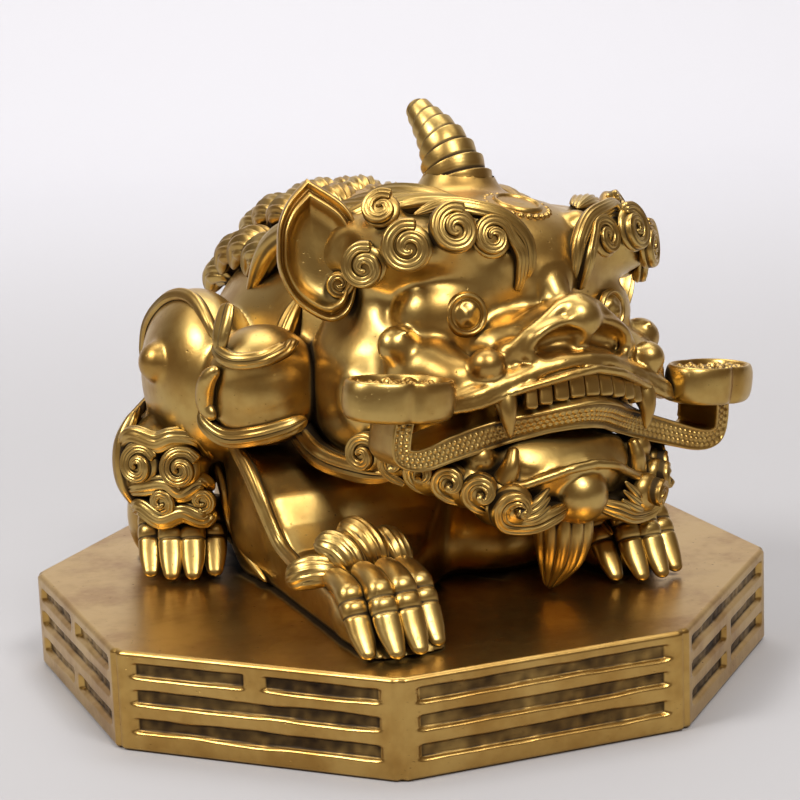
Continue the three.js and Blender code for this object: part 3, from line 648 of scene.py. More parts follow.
def whorl(at, facing, radius, start, hand, lead, wide, high, strands=3, dome=0.3):
    """Snail curl: a band of strands that runs along the lead, then winds in as a spiral. The band's
    middle is radius - wide from the centre at first and comes in by its own width each turn, rising a
    little."""
    count, eye_radius = 150, 0.3
    first = radius - wide
    turns = (first - eye_radius) / (2 * wide)
    t = np.linspace(0, 1, max(8, int(10 * turns)))
    angle = start + hand * 2 * np.pi * turns * t
    reach = first * (1 - t) + eye_radius * t
    flat = np.stack([reach * np.cos(angle), reach * np.sin(angle), dome * (first - reach)], -1)
    spiral = flat @ facing_axes(facing).T + np.asarray(at)
    knots = np.concatenate([np.asarray(lead, float).reshape(-1, 3), spiral])
    lead_share = len(lead) / len(knots)
    sizes = np.array([0.6] * bool(len(lead)) + [1.0, 1.0, 1.0, 1.0, 0.95, 0.55])
    count += int(160 * lead_share)
    spiral_band = lock(
        knots, 1.12 * wide * sizes, high * sizes, facing, strands, 0.36, count, 0, 0.03, 10 * strands, 0.5
    )
    plug = lump((0, 0, 0), (0.8 * radius, 0.8 * radius, 0.45 * high + 0.35 * dome * first), 12, 24)
    return joined([spiral_band, plug.moved(facing_axes(facing), at)])


def brow_curls():
    """Five snail curls over each brow, the inner one led by the strands that rise from the bridge."""
    foot = [(8.4, -20.4, 1.6), (8.6, -21.4, 5.4), (9.2, -21.8, 9.4)]
    top = math.pi / 2
    return [
        whorl((15.2, -19.4, 12.6), (0.25, -0.92, 0.3), 5.5, 2 * top - 0.1, -1, foot, 1.25, 1.7),
        whorl((24.0, -18.2, 14.2), (0.3, -0.9, 0.32), 6.3, top + 0.5, -1, [], 1.35, 1.8),
        whorl((32.4, -14.2, 10.2), (0.55, -0.82, 0.15), 6.4, top + 0.3, -1, [], 1.35, 1.8),
        whorl((37.4, -6.6, 5.6), (0.75, -0.65, 0.0), 5.7, top + 0.3, -1, [], 1.25, 1.7),
        whorl((32.6, -4.6, 17.0), (0.62, -0.6, 0.5), 5.0, top + 0.5, -1, [], 1.3, 1.6),
    ]


def brow_strands():
    """Long strands that rise from the bridge of the nose and sweep back over the curls."""
    outer = [
        (6.6, -20.4, 3.0), (6.2, -21.2, 7.6), (7.4, -20.8, 12.6), (11.4, -18.8, 16.6),
        (17.6, -16.4, 18.4), (23.4, -13.0, 18.8), (28.4, -10.0, 16.6),
    ]
    wide, high = [0.9, 1.6, 1.9, 2.0, 2.0, 1.7, 0.7], [0.9, 1.5, 1.6, 1.7, 1.6, 1.3, 0.5]
    return [lock(outer, wide, high, (0.05, -0.85, 0.5), 5, count=150)]


def crown_locks():
    """Long strands swept back over the crown, from the brow to the nape."""
    forms = []
    for i in range(5):
        knots = [
            (8 + 5.6 * i, -1 + 2.6 * i, 17.6 - 0.9 * i),
            (11.4 + 5.4 * i, 10 + 2.6 * i, 18.6 - 1.7 * i),
            (13 + 5.2 * i, 24 + 2.2 * i, 16 - 2.6 * i),
            (14.5 + 4.6 * i, 40 + 0.8 * i, 6.5 - 3.4 * i),
        ]
        forms.append(lock(knots, [1.2, 3.2, 3.7, 1.2], [1.2, 3, 3.2, 1.2], (0.35, -0.1, 0.93), 4, count=90))
    for i in range(3):
        knots = [
            (13.4 + 3.2 * i, -12.4 + 4.6 * i, 18.2),
            (20 + 2.8 * i, -8.6 + 5 * i, 19.2 - 0.5 * i),
            (26.4 + 2.6 * i, -2.4 + 5 * i, 17.4 - 1.6 * i),
            (31.6 + 1.2 * i, 3.4 + 4.4 * i, 12.6 - 1.8 * i),
        ]
        forms.append(lock(knots, [0.8, 2.2, 2.4, 1.0], [0.8, 1.7, 1.9, 0.9], (0.4, -0.3, 0.85), 4, count=80))
    return forms


EAR_LEAF = [
    (2.9, 14.9), (6.6, 10.4), (8.6, 5.6), (8.9, 0.9), (8.3, -4.4), (5.4, -9.8), (1.0, -13.2),
    (-3.3, -14.5), (-6.6, -12.2), (-8.0, -6.2), (-8.4, 0.0), (-7.6, 5.2), (-4.6, 10.2), (2.9, 14.9),
]


def ear():
    """Leaf with a double rim round a hollow, and the small whorl at its root: the outline is scaled about
    its middle by s, at a depth given by s, over the front and then the back, and its tip leans back by
    0.012 y^2."""
    profile = [
        (0.0, -3.3), (0.3, -3.4), (0.52, -3.0), (0.66, -1.9), (0.74, -0.4), (0.79, 0.3), (0.84, 0.0),
        (0.875, -0.8), (0.91, -0.2), (0.95, 0.5), (0.99, 0.3), (1.01, -0.6), (0.99, -2.2), (0.84, -4.2),
        (0.55, -5.8), (0.2, -6.6), (0.0, -6.6),
    ]
    line = eased(profile, 96)
    scale, depth = np.maximum(line[:, :1], 0.01), line[:, 1:]
    leaf = eased(EAR_LEAF, 121)[:-1]
    middle = np.array([0.4, -1.5])
    x, y = (leaf - middle).T
    grid = np.stack([scale * x + middle[0], scale * y + middle[1], depth + 0 * scale * x], -1)
    grid[..., 2] -= 0.012 * np.maximum(grid[..., 1], 0) ** 2
    facing, at = (0.45, -0.88, 0.12), np.array([40.4, 5.4, 7.6])
    axes = facing_axes(facing)
    leaf_form = closed_grid(grid @ axes.T + at)
    rim = np.array([(-8.2, 3.4, 0.2), (-8.4, -0.6, 0.2), (-7.2, -5.6, 0.0)]) @ axes.T + at
    root = axes @ np.array([-4.2, -6.6, -1.4]) + at
    return [leaf_form, whorl(root, facing, 3.2, -2.2, 1, rim, 0.8, 1.4, 2, 0.2)]


def eye():
    """Pupil: a rolled ring with a broad dome in it, spun from its profile, the dome waved by 0.22 sin x
    cos y."""
    profile = [
        (0, 1.05), (0.8, 1.15), (1.7, 0.95), (2.6, 0.4), (3.1, -0.2), (3.3, -0.3), (3.5, 0.0),
        (3.8, 0.3), (4.15, 0.35), (4.5, 0.05), (4.75, -0.8), (3.7, -2), (0, -2.4),
    ]
    form = spun((0, 0, 0), (0, 0, 1), profile, 72, 100)
    x, y, _ = form.points.T
    inner = 1 - step(np.hypot(x, y), 1.8, 3.0)
    form.points[:, 2] += inner * (0.22 * np.sin(1.5 * x + 1) * np.cos(1.3 * y + 0.5) - 0.1)
    return [form.moved(facing_axes((0.26, -0.95, 0.14)), (19.9, -19.0, -3.1))]


def horn():
    """Horn stepped by one spiral ledge. At a share t of its length the radius is (base - taper t^0.85) x
    (0.88 + 0.19 ledge^0.8); the ledge climbs over most of each turn, then drops, and the tip is rounded
    off."""
    count, around, turns, climb = 220, 72, 9.2, 0.88
    base, taper, tip_share = 9.9, 7.4, 0.05
    t = np.linspace(0, 1, count)[:, None]
    angle = np.linspace(0, 2 * np.pi, around, endpoint=False)[None]
    part = (turns * t**0.9 - angle / (2 * np.pi)) % 1
    ledge = np.where(part < climb, part / climb, (1 - part) / (1 - climb))
    radius = (base - taper * t**0.85) * (0.88 + 0.19 * ledge**0.8)
    tip = np.clip((1 - t) / tip_share, 0, 1)
    radius = radius * np.sqrt(tip * (2 - tip) + 1e-4)
    knots = [(0, 11, 14), (0, 12.5, 21), (0, 18, 29), (0, 26, 35), (0, 30, 37.4)]
    groove = np.clip(1.25 - 2.2 * ledge, 0.45, 1)
    return [carried(path(knots, count), (0, 1, 0), radius * np.cos(angle), radius * np.sin(angle), groove)]


def jewel():
    """Dished jewel with a domed middle in a rolled rim, spun from its profile, and a ring of even beads
    round it."""
    facing = unit((0, -0.24, 0.97))
    at = np.array([0, -8.4, 18.2])
    profile = [
        (0, 1.1), (1.4, 1.0), (2.6, 0.55), (3.5, 0.1), (4.0, 0.1), (4.3, 0.8), (4.8, 1.3), (5.3, 1.0),
        (5.6, 0.2), (5.4, -1.4), (0, -1.6),
    ]
    forms = [spun(at, facing, profile, 72, 80)]
    axes = facing_axes(facing)
    beads, ring = 24, 6.9
    for angle in np.linspace(0, 2 * np.pi, beads, endpoint=False):
        spot = at + axes @ np.array([ring * math.cos(angle), ring * math.sin(angle), -0.1])
        forms.append(lump(spot, (0.82, 0.82, 0.8), 9, 14))
    return forms


def teeth():
    """Upper teeth, squared balls set flush in a row that bows back by 0.010 x^2 and down by 0.012 x^2,
    and a fang up and a fang down at each side."""
    forms = []
    row = list(zip((0, 3.8, 7.55, 11.0, 14.0), (3.75, 3.7, 3.5, 3.1, 2.7)))
    for side, places in ((-1, row[1:]), (1, row)):
        for x, wide in places:
            turn = turned("Z", side * math.atan(0.018 * x)) @ turned("X", -0.3)
            tooth = lump((0, 0, 0), (wide / 2, 1.2, 2.75), 24, 32, 0.34).moved(turn)
            forms.append(tooth.moved(origin=(side * x, -35.4 + 0.010 * x * x, -15.7 - 0.012 * x * x)))
    down = [(18.6, -30.4, -17), (18.9, -32.6, -21.5), (18.6, -33.2, -24.6), (18.3, -33.4, -26.6)]
    up = [(17.6, -31.0, -36), (17.2, -32.4, -33), (16.6, -32.2, -30.6), (15.9, -31.6, -28.8)]
    fangs = [
        lock(down, [2.6, 2.4, 1.5, 0.4], [2.6, 2.3, 1.4, 0.4], (1, 0, 0), 1),
        lock(up, [3.2, 2.3, 1.7, 1.1], [3.2, 2.3, 1.6, 1.0], (1, 0, 0), 1),
    ]
    return forms + both_sides(fangs)


def beard():
    """Ribbed flame under the chin ball, the locks that wind out from it and the curls along the jaw."""
    knots = [(0, -30.2, -43), (0, -30.4, -47.4), (0, -29.8, -52), (0.2, -28, -56.6), (0.3, -26.4, -60.6)]
    cone = fluted(knots, [5.8, 6.3, 5.6, 3.6, 1.0], 11, 0.17, 100, 0.06, (0, 1, 0), 0.15)
    low = -math.pi / 2
    strands = [(3.6, -34.8, -41.0), (8.4, -35.8, -42.4), (13, -35.6, -44)]
    side = [whorl((18.0, -34.6, -40.2), (0.3, -0.94, -0.1), 5.8, low, 1, strands, 1.9, 2.4, 4, 1.4)]
    rolls = [
        ((23.6, -31.0, -37.2), (0.5, -0.86, -0.1), 4.7, (20.6, -31, -42), 1.3, 1.8, 1.4),
        ((27.4, -26.0, -35.8), (0.62, -0.78, -0.1), 4.6, (24.6, -27, -40.4), 1.3, 1.8, 1.4),
        ((30.6, -21.0, -34.6), (0.75, -0.66, -0.1), 4.5, (28.2, -22, -39), 1.3, 1.8, 1.4),
        ((33.4, -15.4, -33.6), (0.85, -0.5, -0.1), 4.2, (31.6, -17, -38), 1.25, 1.6, 1.2),
    ]
    for at, facing, radius, foot, wide, high, dome in rolls:
        side.append(whorl(at, facing, radius, low + 0.2, 1, [foot], wide, high, 3, dome))
    for i in range(3):
        fan = [
            (17.2 - 0.4 * i, -35.6, -43.6 + 0.9 * i),
            (13.4, -36.9, -42.4 + 1.5 * i),
            (9.6 + 0.3 * i, -37.0, -40.4 + 1.9 * i),
        ]
        side.append(lock(fan, [0.7, 1.1, 0.4], [0.8, 1.3, 0.4], (0.1, -1, -0.1), 2, 0.4, 50))
    return [cone] + both_sides(side)


def cheek_cord():
    """Corded edge of the cheek, from behind the ear round to the beard, in four strands, and its whorl."""
    knots = [
        (33, 22, -3), (37, 21, -12), (37.6, 17.4, -17), (37.7, 16.8, -22), (37.5, 16.8, -28),
        (37.2, 11, -33.8), (36.7, 4, -36.4), (35.7, -8, -36.9), (33.2, -16.6, -36.4),
    ]
    wide = [1.6, 2.9, 3.1, 3.1, 3.1, 3.0, 2.8, 2.6, 1.6]
    high = [1.4, 2.6, 2.8, 2.8, 2.8, 2.6, 2.4, 2.2, 1.4]
    return [
        lock(knots, wide, high, (1, -0.15, -0.1), 4, count=200),
        whorl((37.0, -9.6, -32.6), (0.92, -0.38, -0.1), 5.2, math.pi, -1, [], 1.2, 1.7, 3, 0.5),
    ]


def toe(tip, ahead, arch):
    """One toe: a tube over a ringed knuckle and a joint, then a long flat nail that slopes to the ground.
    Half width and height = eased list + a bell at each ring - a thin bell at each seam."""
    count, around = 110, 28
    t = np.linspace(0, 1, count)[:, None]
    angle = np.linspace(0, 2 * np.pi, around, endpoint=False)[None]
    reaches = [(19, 12.4), (14, 12.4), (10.4, 11.4), (7.8, 9.2), (3.8, 4.6), (-0.2, 0.7)]
    knots = [np.array([*(np.asarray(tip) - ahead[:2] * back), SEAT + high * arch]) for back, high in reaches]
    width = eased([2.4, 2.6, 2.85, 2.9, 2.55, 1.4], count)[:, None]
    high = eased([2.2, 2.3, 2.4, 2.2, 1.6, 0.8], count)[:, None]
    ridges = 0.5 * np.exp(-(((t - 0.40) / 0.055) ** 2)) + 0.25 * np.exp(-(((t - 0.54) / 0.04) ** 2))
    seams = np.exp(-(((t - 0.48) / 0.02) ** 2)) + np.exp(-(((t - 0.61) / 0.018) ** 2))
    closing = rounded_ends(count, 0.05)[:, None]
    squared = np.sign(np.cos(angle)) * np.abs(np.cos(angle)) ** 0.8
    sideways = (width + 0.2 * ridges - 0.1 * seams) * closing * squared
    outward = (high + ridges - 0.35 * seams) * closing * np.sin(angle)
    up = np.array([0, 0, 1]) + 0.6 * ahead
    return carried(path(knots, count), up, sideways, outward, np.clip(seams, 0, 1) + 0 * angle)


def paws():
    """Four toes on each paw, side by side between the two outer tips; the middle ones reach 3.4 sin(pi
    share) further and stand a little higher."""
    forms = []
    for first, last, heading in PAWS:
        ahead = np.array([math.sin(heading), -math.cos(heading), 0])
        for share in np.linspace(0, 1, 4):
            bow = math.sin(math.pi * share)
            tip = np.array(first) * (1 - share) + np.array(last) * share + ahead[:2] * 3.4 * bow
            forms.append(toe(tip, ahead, 1 + 0.12 * bow))
    return forms


def wrist_fur():
    """Puffs of ridged fur in a row over each fore paw: the outer one lies level, the next ones turn
    upright."""
    near = [
        (
            [(-39.4, -36.6, 31.4), (-36.4, -39.6, 33.6), (-32.6, -41.2, 34), (-29.4, -41.4, 32.6)],
            (-0.3, -0.75, 0.6),
        ),
        (
            [(-33.0, -36.4, 38.8), (-29.8, -39.8, 38.2), (-27.4, -42.4, 35.4), (-26.4, -43.0, 32.2)],
            (-0.35, -0.7, 0.65),
        ),
        (
            [(-26.6, -34.0, 40.6), (-24.6, -38.4, 40.2), (-22.6, -41.8, 37), (-21.6, -43, 32.6)],
            (-0.2, -0.75, 0.65),
        ),
        (
            [(-18.6, -34.6, 38.6), (-17.8, -38.8, 37.6), (-16.8, -41.4, 34.8), (-16.4, -42.2, 31.6)],
            (0.1, -0.8, 0.6),
        ),
    ]
    forms = []
    for knots, up in near:
        # The other paw's fur is this one's image across x = 7, set 24 mm back
        image = [(14.0 - x, y + 24, z) for x, y, z in knots]
        for line, out in ((knots, up), (image, (-up[0], up[1], up[2]))):
            forms.append(lock(line, [2.4, 3.5, 3.5, 2.0], [1.8, 2.9, 2.8, 1.6], out, 5, 0.36, 60, 0.6, 0.22))
    return forms


def leg_bands():
    """Raised cords over the shoulder and down the outer side of the fore limb, with the fin over them:
    each a lock along its own knots."""
    rows = [
        # Upper band over the shoulder
        (
            [
                (-39.6, 0.6, 74.8), (-41.0, -5.4, 73.6), (-39.4, -10.6, 72.6), (-34.8, -13.6, 72.9),
                (-29.6, -13.2, 74.2), (-25.6, -10.4, 75.4),
            ],
            [1.2, 1.8, 2.0, 2.0, 2.0, 1.6],
            [1.0, 1.5, 1.6, 1.6, 1.5, 1.2],
            4,
            (-0.8, -0.6, 0.1),
        ),
        # Lower band
        (
            [
                (-42.4, 3.4, 60.6), (-43.4, -0.6, 57.8), (-40.6, -5.8, 55.4), (-36.4, -12.1, 56.4),
                (-30, -14.9, 58), (-25.4, -14.2, 59.2),
            ],
            [1.4, 2.2, 2.4, 2.4, 2.3, 1.8],
            [1.2, 1.7, 1.9, 1.9, 1.7, 1.3],
            4,
            (-0.8, -0.6, -0.1),
        ),
        # Smooth roll that joins them
        (
            [
                (-42.0, -7.2, 70.8), (-43.6, -4.9, 68.2), (-44.0, -3.2, 64.9), (-43.8, -2.9, 61.8),
                (-42.8, -5.2, 59.4),
            ],
            [1.0, 2.0, 2.3, 2.1, 1.1],
            [0.9, 1.8, 2.0, 1.8, 1.0],
            1,
            (-1, -0.4, 0.0),
        ),
        # Cord down the edge of the limb
        (
            [
                (-37.2, 4.0, 53.2), (-37.6, -4, 51.4), (-37.4, -10.6, 48.2), (-36.8, -15.0, 43.6),
                (-35.8, -17.8, 38.6), (-35.0, -21.4, 34.6), (-34.6, -28, 32.8), (-34.2, -37, 31.2),
            ],
            [1.2, 1.8, 2.0, 2.0, 1.9, 1.8, 1.8, 1.2],
            [1.0, 1.4, 1.6, 1.6, 1.5, 1.4, 1.4, 1.0],
            3,
            (-1, -0.4, 0.4),
        ),
        # Thin line behind it
        (
            [
                (-36.6, 15.4, 51), (-37.4, 12.8, 46), (-37.2, 9.2, 40), (-35.8, 9.6, 32),
                (-34.6, 2.6, 26.4), (-33.4, -6, 22.4),
            ],
            [0.8, 1.1, 1.1, 1.1, 1.1, 0.8],
            [0.8, 1.1, 1.1, 1.1, 1.1, 0.8],
            1,
            (-1, -0.2, 0),
        ),
        # Fin that stands up from the upper band
        (
            [(-41.0, -5.6, 73.2), (-40.6, -5.4, 76.6), (-39.4, -4.6, 80.2), (-38.0, -3.4, 83.6)],
            [1.6, 2.5, 2.8, 2.2],
            [0.9, 1.2, 1.1, 0.7],
            2,
            (-0.9, -0.45, 0.1),
        ),
    ]
    return [lock(knots, wide, high, up, strands, count=120) for knots, wide, high, strands, up in rows]


def haunch_trim():
    """Corded rim over the haunch, and the whorls, winding strands and tall locks of its cuff."""
    rim = [
        (-46.6, 34.0, 64.8), (-45.8, 31, 73.9), (-43.7, 24.9, 79.9), (-41.4, 18.9, 82.2), (-40, 12.6, 81.6),
        (-39.4, 6.4, 78), (-38.6, 3.4, 73.6),
    ]
    low = -math.pi / 2
    forms = [
        lock(rim, [1.2, 1.6, 1.7, 1.6, 1.2], [1.2, 1.6, 1.7, 1.6, 1.2], (-0.8, 0, 0.6), 3, count=110),
        whorl((-46.6, 9.2, 46), (-0.5, -0.86, 0.1), 5.6, 0.4, 1, [], 1.25, 1.8, 4, 0.5),
        whorl((-53.6, 15.6, 46.4), (-0.75, -0.66, 0.1), 5.6, 0.4, 1, [], 1.25, 1.8, 4, 0.5),
        whorl((-50.4, 12.0, 38.6), (-0.65, -0.74, 0.0), 3.8, low, 1, [], 1.0, 1.5, 3, 0.5),
        whorl((-42.6, 8.0, 38.8), (-0.45, -0.88, 0.0), 3.6, low, 1, [], 1.0, 1.5, 3, 0.5),
    ]
    between = [
        [
            (-56.2, 23, 49), (-54.6, 17.4, 52.6), (-50.6, 12.8, 51.6), (-47.4, 10, 53), (-42.4, 8.4, 52),
            (-39.4, 9.4, 47),
        ],
        [
            (-55.4, 20.6, 40), (-53.4, 16.2, 41.4), (-49.4, 11.6, 42.6), (-46.6, 9.6, 40.6),
            (-42.6, 8.0, 42.6), (-39.6, 8.6, 40.4),
        ],
        [
            (-54.4, 21, 35), (-53.6, 17, 36.6), (-50.6, 12.4, 34.6), (-46.4, 9.4, 36.2), (-42.4, 7.6, 34.6),
            (-39.6, 8.4, 36),
        ],
    ]
    wide, high = [1.6, 2.4, 2.6, 2.4, 2.4, 1.4], [1.2, 1.9, 2.0, 1.9, 1.9, 1.0]
    for knots in between:
        forms.append(lock(knots, wide, high, (-0.7, -0.7, 0.1), 4, count=90, twist=0.5))
    for i in range(5):
        knots = [
            (-53.2 + 2.4 * i, 20.5 + 4.2 * i, 35.6 - 0.8 * i),
            (-55.8 + 2.2 * i, 21.4 + 4.4 * i, 42),
            (-55.6 + 2.2 * i, 22 + 4.6 * i, 50),
            (-52.4 + 2.4 * i, 22.6 + 4.4 * i, 57),
        ]
        forms.append(lock(knots, [1.6, 2.8, 2.8, 1.0], [1.4, 2.3, 2.2, 1.0], (-0.9, 0.35, 0), 4, count=70))
    return forms


def back_tufts():
    """Rows of ridged tufts over the neck and back, each rooted on the trunk's ellipsoid, where z = middle +
    half height x root(1 - (x / half width)^2 - (y / half length)^2), and turned down at its tip."""
    (_, middle_y, middle_z), (half_x, half_y, half_z) = TRUNK
    forms = []
    for row, x in enumerate((-21, -13, -4.5, 4.5, 13, 21)):
        for y in (19, 28.5, 38, 47.5):
            y = y - 3 * (row % 2)
            z = middle_z + half_z * math.sqrt(1 - (x / half_x) ** 2 - ((y - middle_y) / half_y) ** 2)
            z += 2 * (abs(x) < 15)
            knots = [
                (x * 0.85, y - 6, z + 1.6),
                (x * 0.98, y - 1.5, z + 4),
                (x * 1.08, y + 3.4, z + 2.4),
                (x * 1.16, y + 5.6, z - 2.6),
            ]
            up = (x / half_x, (y - middle_y) / 60, 0.8)
            twist = 0.7 if x < 0 else -0.7
            wide, high = [2.2, 4.6, 4.5, 1.6], [2.0, 3.6, 3.4, 1.4]
            forms.append(lock(knots, wide, high, up, 5, 0.45, 56, twist, 0.16))
    return forms


def tail():
    """Tail of three flame-shaped locks that rises from the rump, the side ones thinner."""
    up = (0, 1, 0.2)
    middle = [(0, 56, 36), (2, 65, 50), (7, 62, 68), (13, 52, 84), (21, 45, 97)]
    near = [(0, 60, 42), (-9, 64.5, 54), (-12, 60.4, 68), (-6, 52, 84)]
    far = [(2, 60, 42), (15, 62.4, 52), (23, 55.6, 66), (26, 46, 80)]
    forms = [lock(middle, [6, 9, 9, 6.6, 1], [5, 6.4, 6.4, 5, 1], up, 8, 0.3, 140)]
    for knots in (near, far):
        forms.append(lock(knots, [4, 6.5, 6, 1], [3.6, 4.8, 4.6, 1], up, 6, 0.34, 110))
    return forms


# Sceptre


def strap(face, depth, count):
    """Strap whose front is a pebbled strip between two raised rims. The strip follows the knots of its
    face and leans more towards the middle of the bar; height on it = rim + bells on a lattice staggered
    from row to row."""
    line = path(face, count)
    along = unit(np.gradient(line, axis=0))
    lean = 1 - step(np.abs(line[:, 0]), 8, 26)
    back = np.stack([-0.17 * np.clip(line[:, 0] / 40, -1, 1), np.ones(count), 0.55 * lean], -1)
    back = unit(back - along * np.einsum("ij,ij->i", back, along)[:, None])
    normal = np.cross(along, back)
    thick = np.interp(np.abs(line[:, 0]), [0, 12, 24, 36, 42], [3.5, 3.2, 2.9, 2.5, 2.1])[:, None]
    strip = np.linspace(-0.93, 0.93, 31)
    side = [(0.01, 0.985), (0.05, 1.0), (0.3, 1.0), (0.6, 1.0), (0.9, 1.0), (1.0, 0.9), (1.0, 0.3)]
    ring = np.array([(0, v) for v in strip] + side + [(u, -v) for u, v in side[::-1]])
    reach = np.concatenate([[0], np.cumsum(np.linalg.norm(np.diff(line, axis=0), axis=1))])[:, None]
    front = (np.arange(len(ring)) < len(strip)).astype(float)[None]
    across = ring[None, :, 1] * thick
    spread, pitch, pebble = 1.15, 1.35, 0.4
    rows = np.round(0.62 * thick / spread - 0.5)
    row = np.clip(np.round(across / spread), -rows, rows)
    shift = (reach / pitch + 0.5 * (row % 2)) % 1 - 0.5
    bell = np.exp(-((across - row * spread) ** 2 + (shift * pitch) ** 2) / pebble**2)
    rim = step(thick - np.abs(across), 0.75, 0.45)
    height = front * (0.42 * bell * (1 - rim) + 0.45 * rim - 0.25)
    closing = rounded_ends(count, 0.012)[:, None]
    grid = line[:, None] + back[:, None] * ((ring[None, :, 0] * 2 * depth - height) * closing)[..., None]
    grid = grid + normal[:, None] * (across * closing)[..., None]
    return closed_grid(grid, front * (1 - rim) * (1 - np.clip(2 * bell, 0, 1)) * 0.8)


def sceptre_head():
    """Cloud-shaped head: thick smooth wall, raised rim and sunk top full of pebbles. Its outline is an
    oval, (11.9 cos a, 7.5 sin a^0.85) x (1 - a bell at each notch), carried over a profile of (scale,
    height)."""
    turn = np.linspace(0, 2 * np.pi, 180, endpoint=False)
    front = np.exp(-(((turn - 1.5 * np.pi) / 0.13) ** 2))
    back = np.exp(-(((turn - 0.5 * np.pi) / 0.2) ** 2))
    notch = 1 - 0.12 * front - 0.06 * back
    outline = np.stack([11.9 * np.cos(turn), 7.5 * np.sign(np.sin(turn)) * np.abs(np.sin(turn)) ** 0.85], -1)
    outline = outline * notch[:, None]
    profile = [
        (0, 1.7), (0.4, 1.7), (0.74, 1.6), (0.8, 2.0), (0.85, 2.8), (0.9, 3.0), (0.95, 2.6),
        (0.985, 1.6), (1.0, 0.4), (1.0, -1.4), (0.98, -3.2), (0.92, -4.6), (0.78, -5.2), (0.4, -5.2),
        (0, -5.2),
    ]
    line = eased(profile, 130)
    scale, height = np.maximum(line[:, :1], 0.01), line[:, 1:]
    grid = np.stack([scale * outline[:, 0], scale * outline[:, 1], height + 0 * outline[:, 0]], -1)
    inner = step(0.82 - scale, 0, 0.06) * (height > 0)
    rng = np.random.default_rng(4)
    count = 64
    spots = rng.uniform((-9.4, -5.8), (9.4, 5.8), (count, 2))
    gap = np.linalg.norm(grid[:, :, None, :2] - spots, axis=-1)
    sizes = rng.uniform(0.7, 1.15, count)
    pebbles = np.max(np.sqrt(np.clip(1 - (gap / sizes) ** 2, 0, 1)) * sizes, axis=-1)
    grid[..., 2] += inner * (pebbles * 1.35 - 0.5)
    groove = inner * np.clip(0.9 - 1.6 * pebbles, 0, 1)
    return closed_grid(grid, groove).moved(turned("Z", math.radians(10)), (42, -26.8, -17.4))


def sceptre():
    """Strap that dips across the jaws, its upright stems and the two heads."""
    half = [
        (42.3, -31, -18), (43.0, -30.6, -22), (43.4, -30.4, -26), (42.9, -30.2, -29.2),
        (40.2, -30.3, -30.4), (36, -30.2, -30.2), (30, -29.6, -28.8), (24, -29.6, -27.4),
        (17, -30.6, -25.7), (11.6, -32.6, -24.4), (6.4, -35.2, -23),
    ]
    bar = half + [(0, -36.6, -22.2)] + [(-x, y, z) for x, y, z in half[::-1]]
    return [strap(bar, 5.4, 800)] + both_sides([sceptre_head()])


# Plinth


# Bars from the top down on each side, from the beast's right side round by its front: 1 is broken, 0 whole
BARS = [(1, 0, 1), (1, 0, 0), (0, 0, 0), (0, 1, 1), (0, 0, 1), (1, 1, 0), (1, 1, 1), (0, 1, 0)]
# Land above each row of bars and the row's own height
BAR_ROWS = [(2.2, 3.3), (2.3, 3.3), (2.6, 3.4)]
BAR_HALF_LENGTH = 27.2
BAR_HALF_GAP = 1.95


def sunk_bars(lateral, face, z):
    """Mask of the bars on a grid of places along the sides and heights, and how uneven their floors are.
    The mask is the distance in from a bar's edges, its corners rounded by a radius, and wandering a
    little, taken through a smooth step."""
    rounding = 0.7
    across, height = np.meshgrid(lateral, z)
    wander = 0.18 * wave(np.stack([across + 60 * face, height, 0 * across], -1), 9, 21)
    mask = np.zeros(across.shape)
    top_line = PLINTH_TOP
    for row, (land, tall) in enumerate(BAR_ROWS):
        high = top_line - land
        low = top_line = high - tall
        broken = np.array([bars[row] for bars in BARS])[face] == 1
        upright = np.minimum(high - height, height - low)
        gap = np.where(broken, np.abs(across) - BAR_HALF_GAP, FAR)
        sideways = np.minimum(BAR_HALF_LENGTH - np.abs(across), gap)
        inside = np.minimum(upright, sideways)
        corner = np.hypot(np.maximum(rounding - upright, 0), np.maximum(rounding - sideways, 0))
        rounded = np.where(inside < rounding, rounding - corner, inside)
        mask = np.maximum(mask, step(rounded + wander, -0.12, 0.62))
    rough = 1 + 0.10 * wave(np.stack([across + 60 * face, height, 0 * across], -1), 2.6, 22)
    return mask, rough


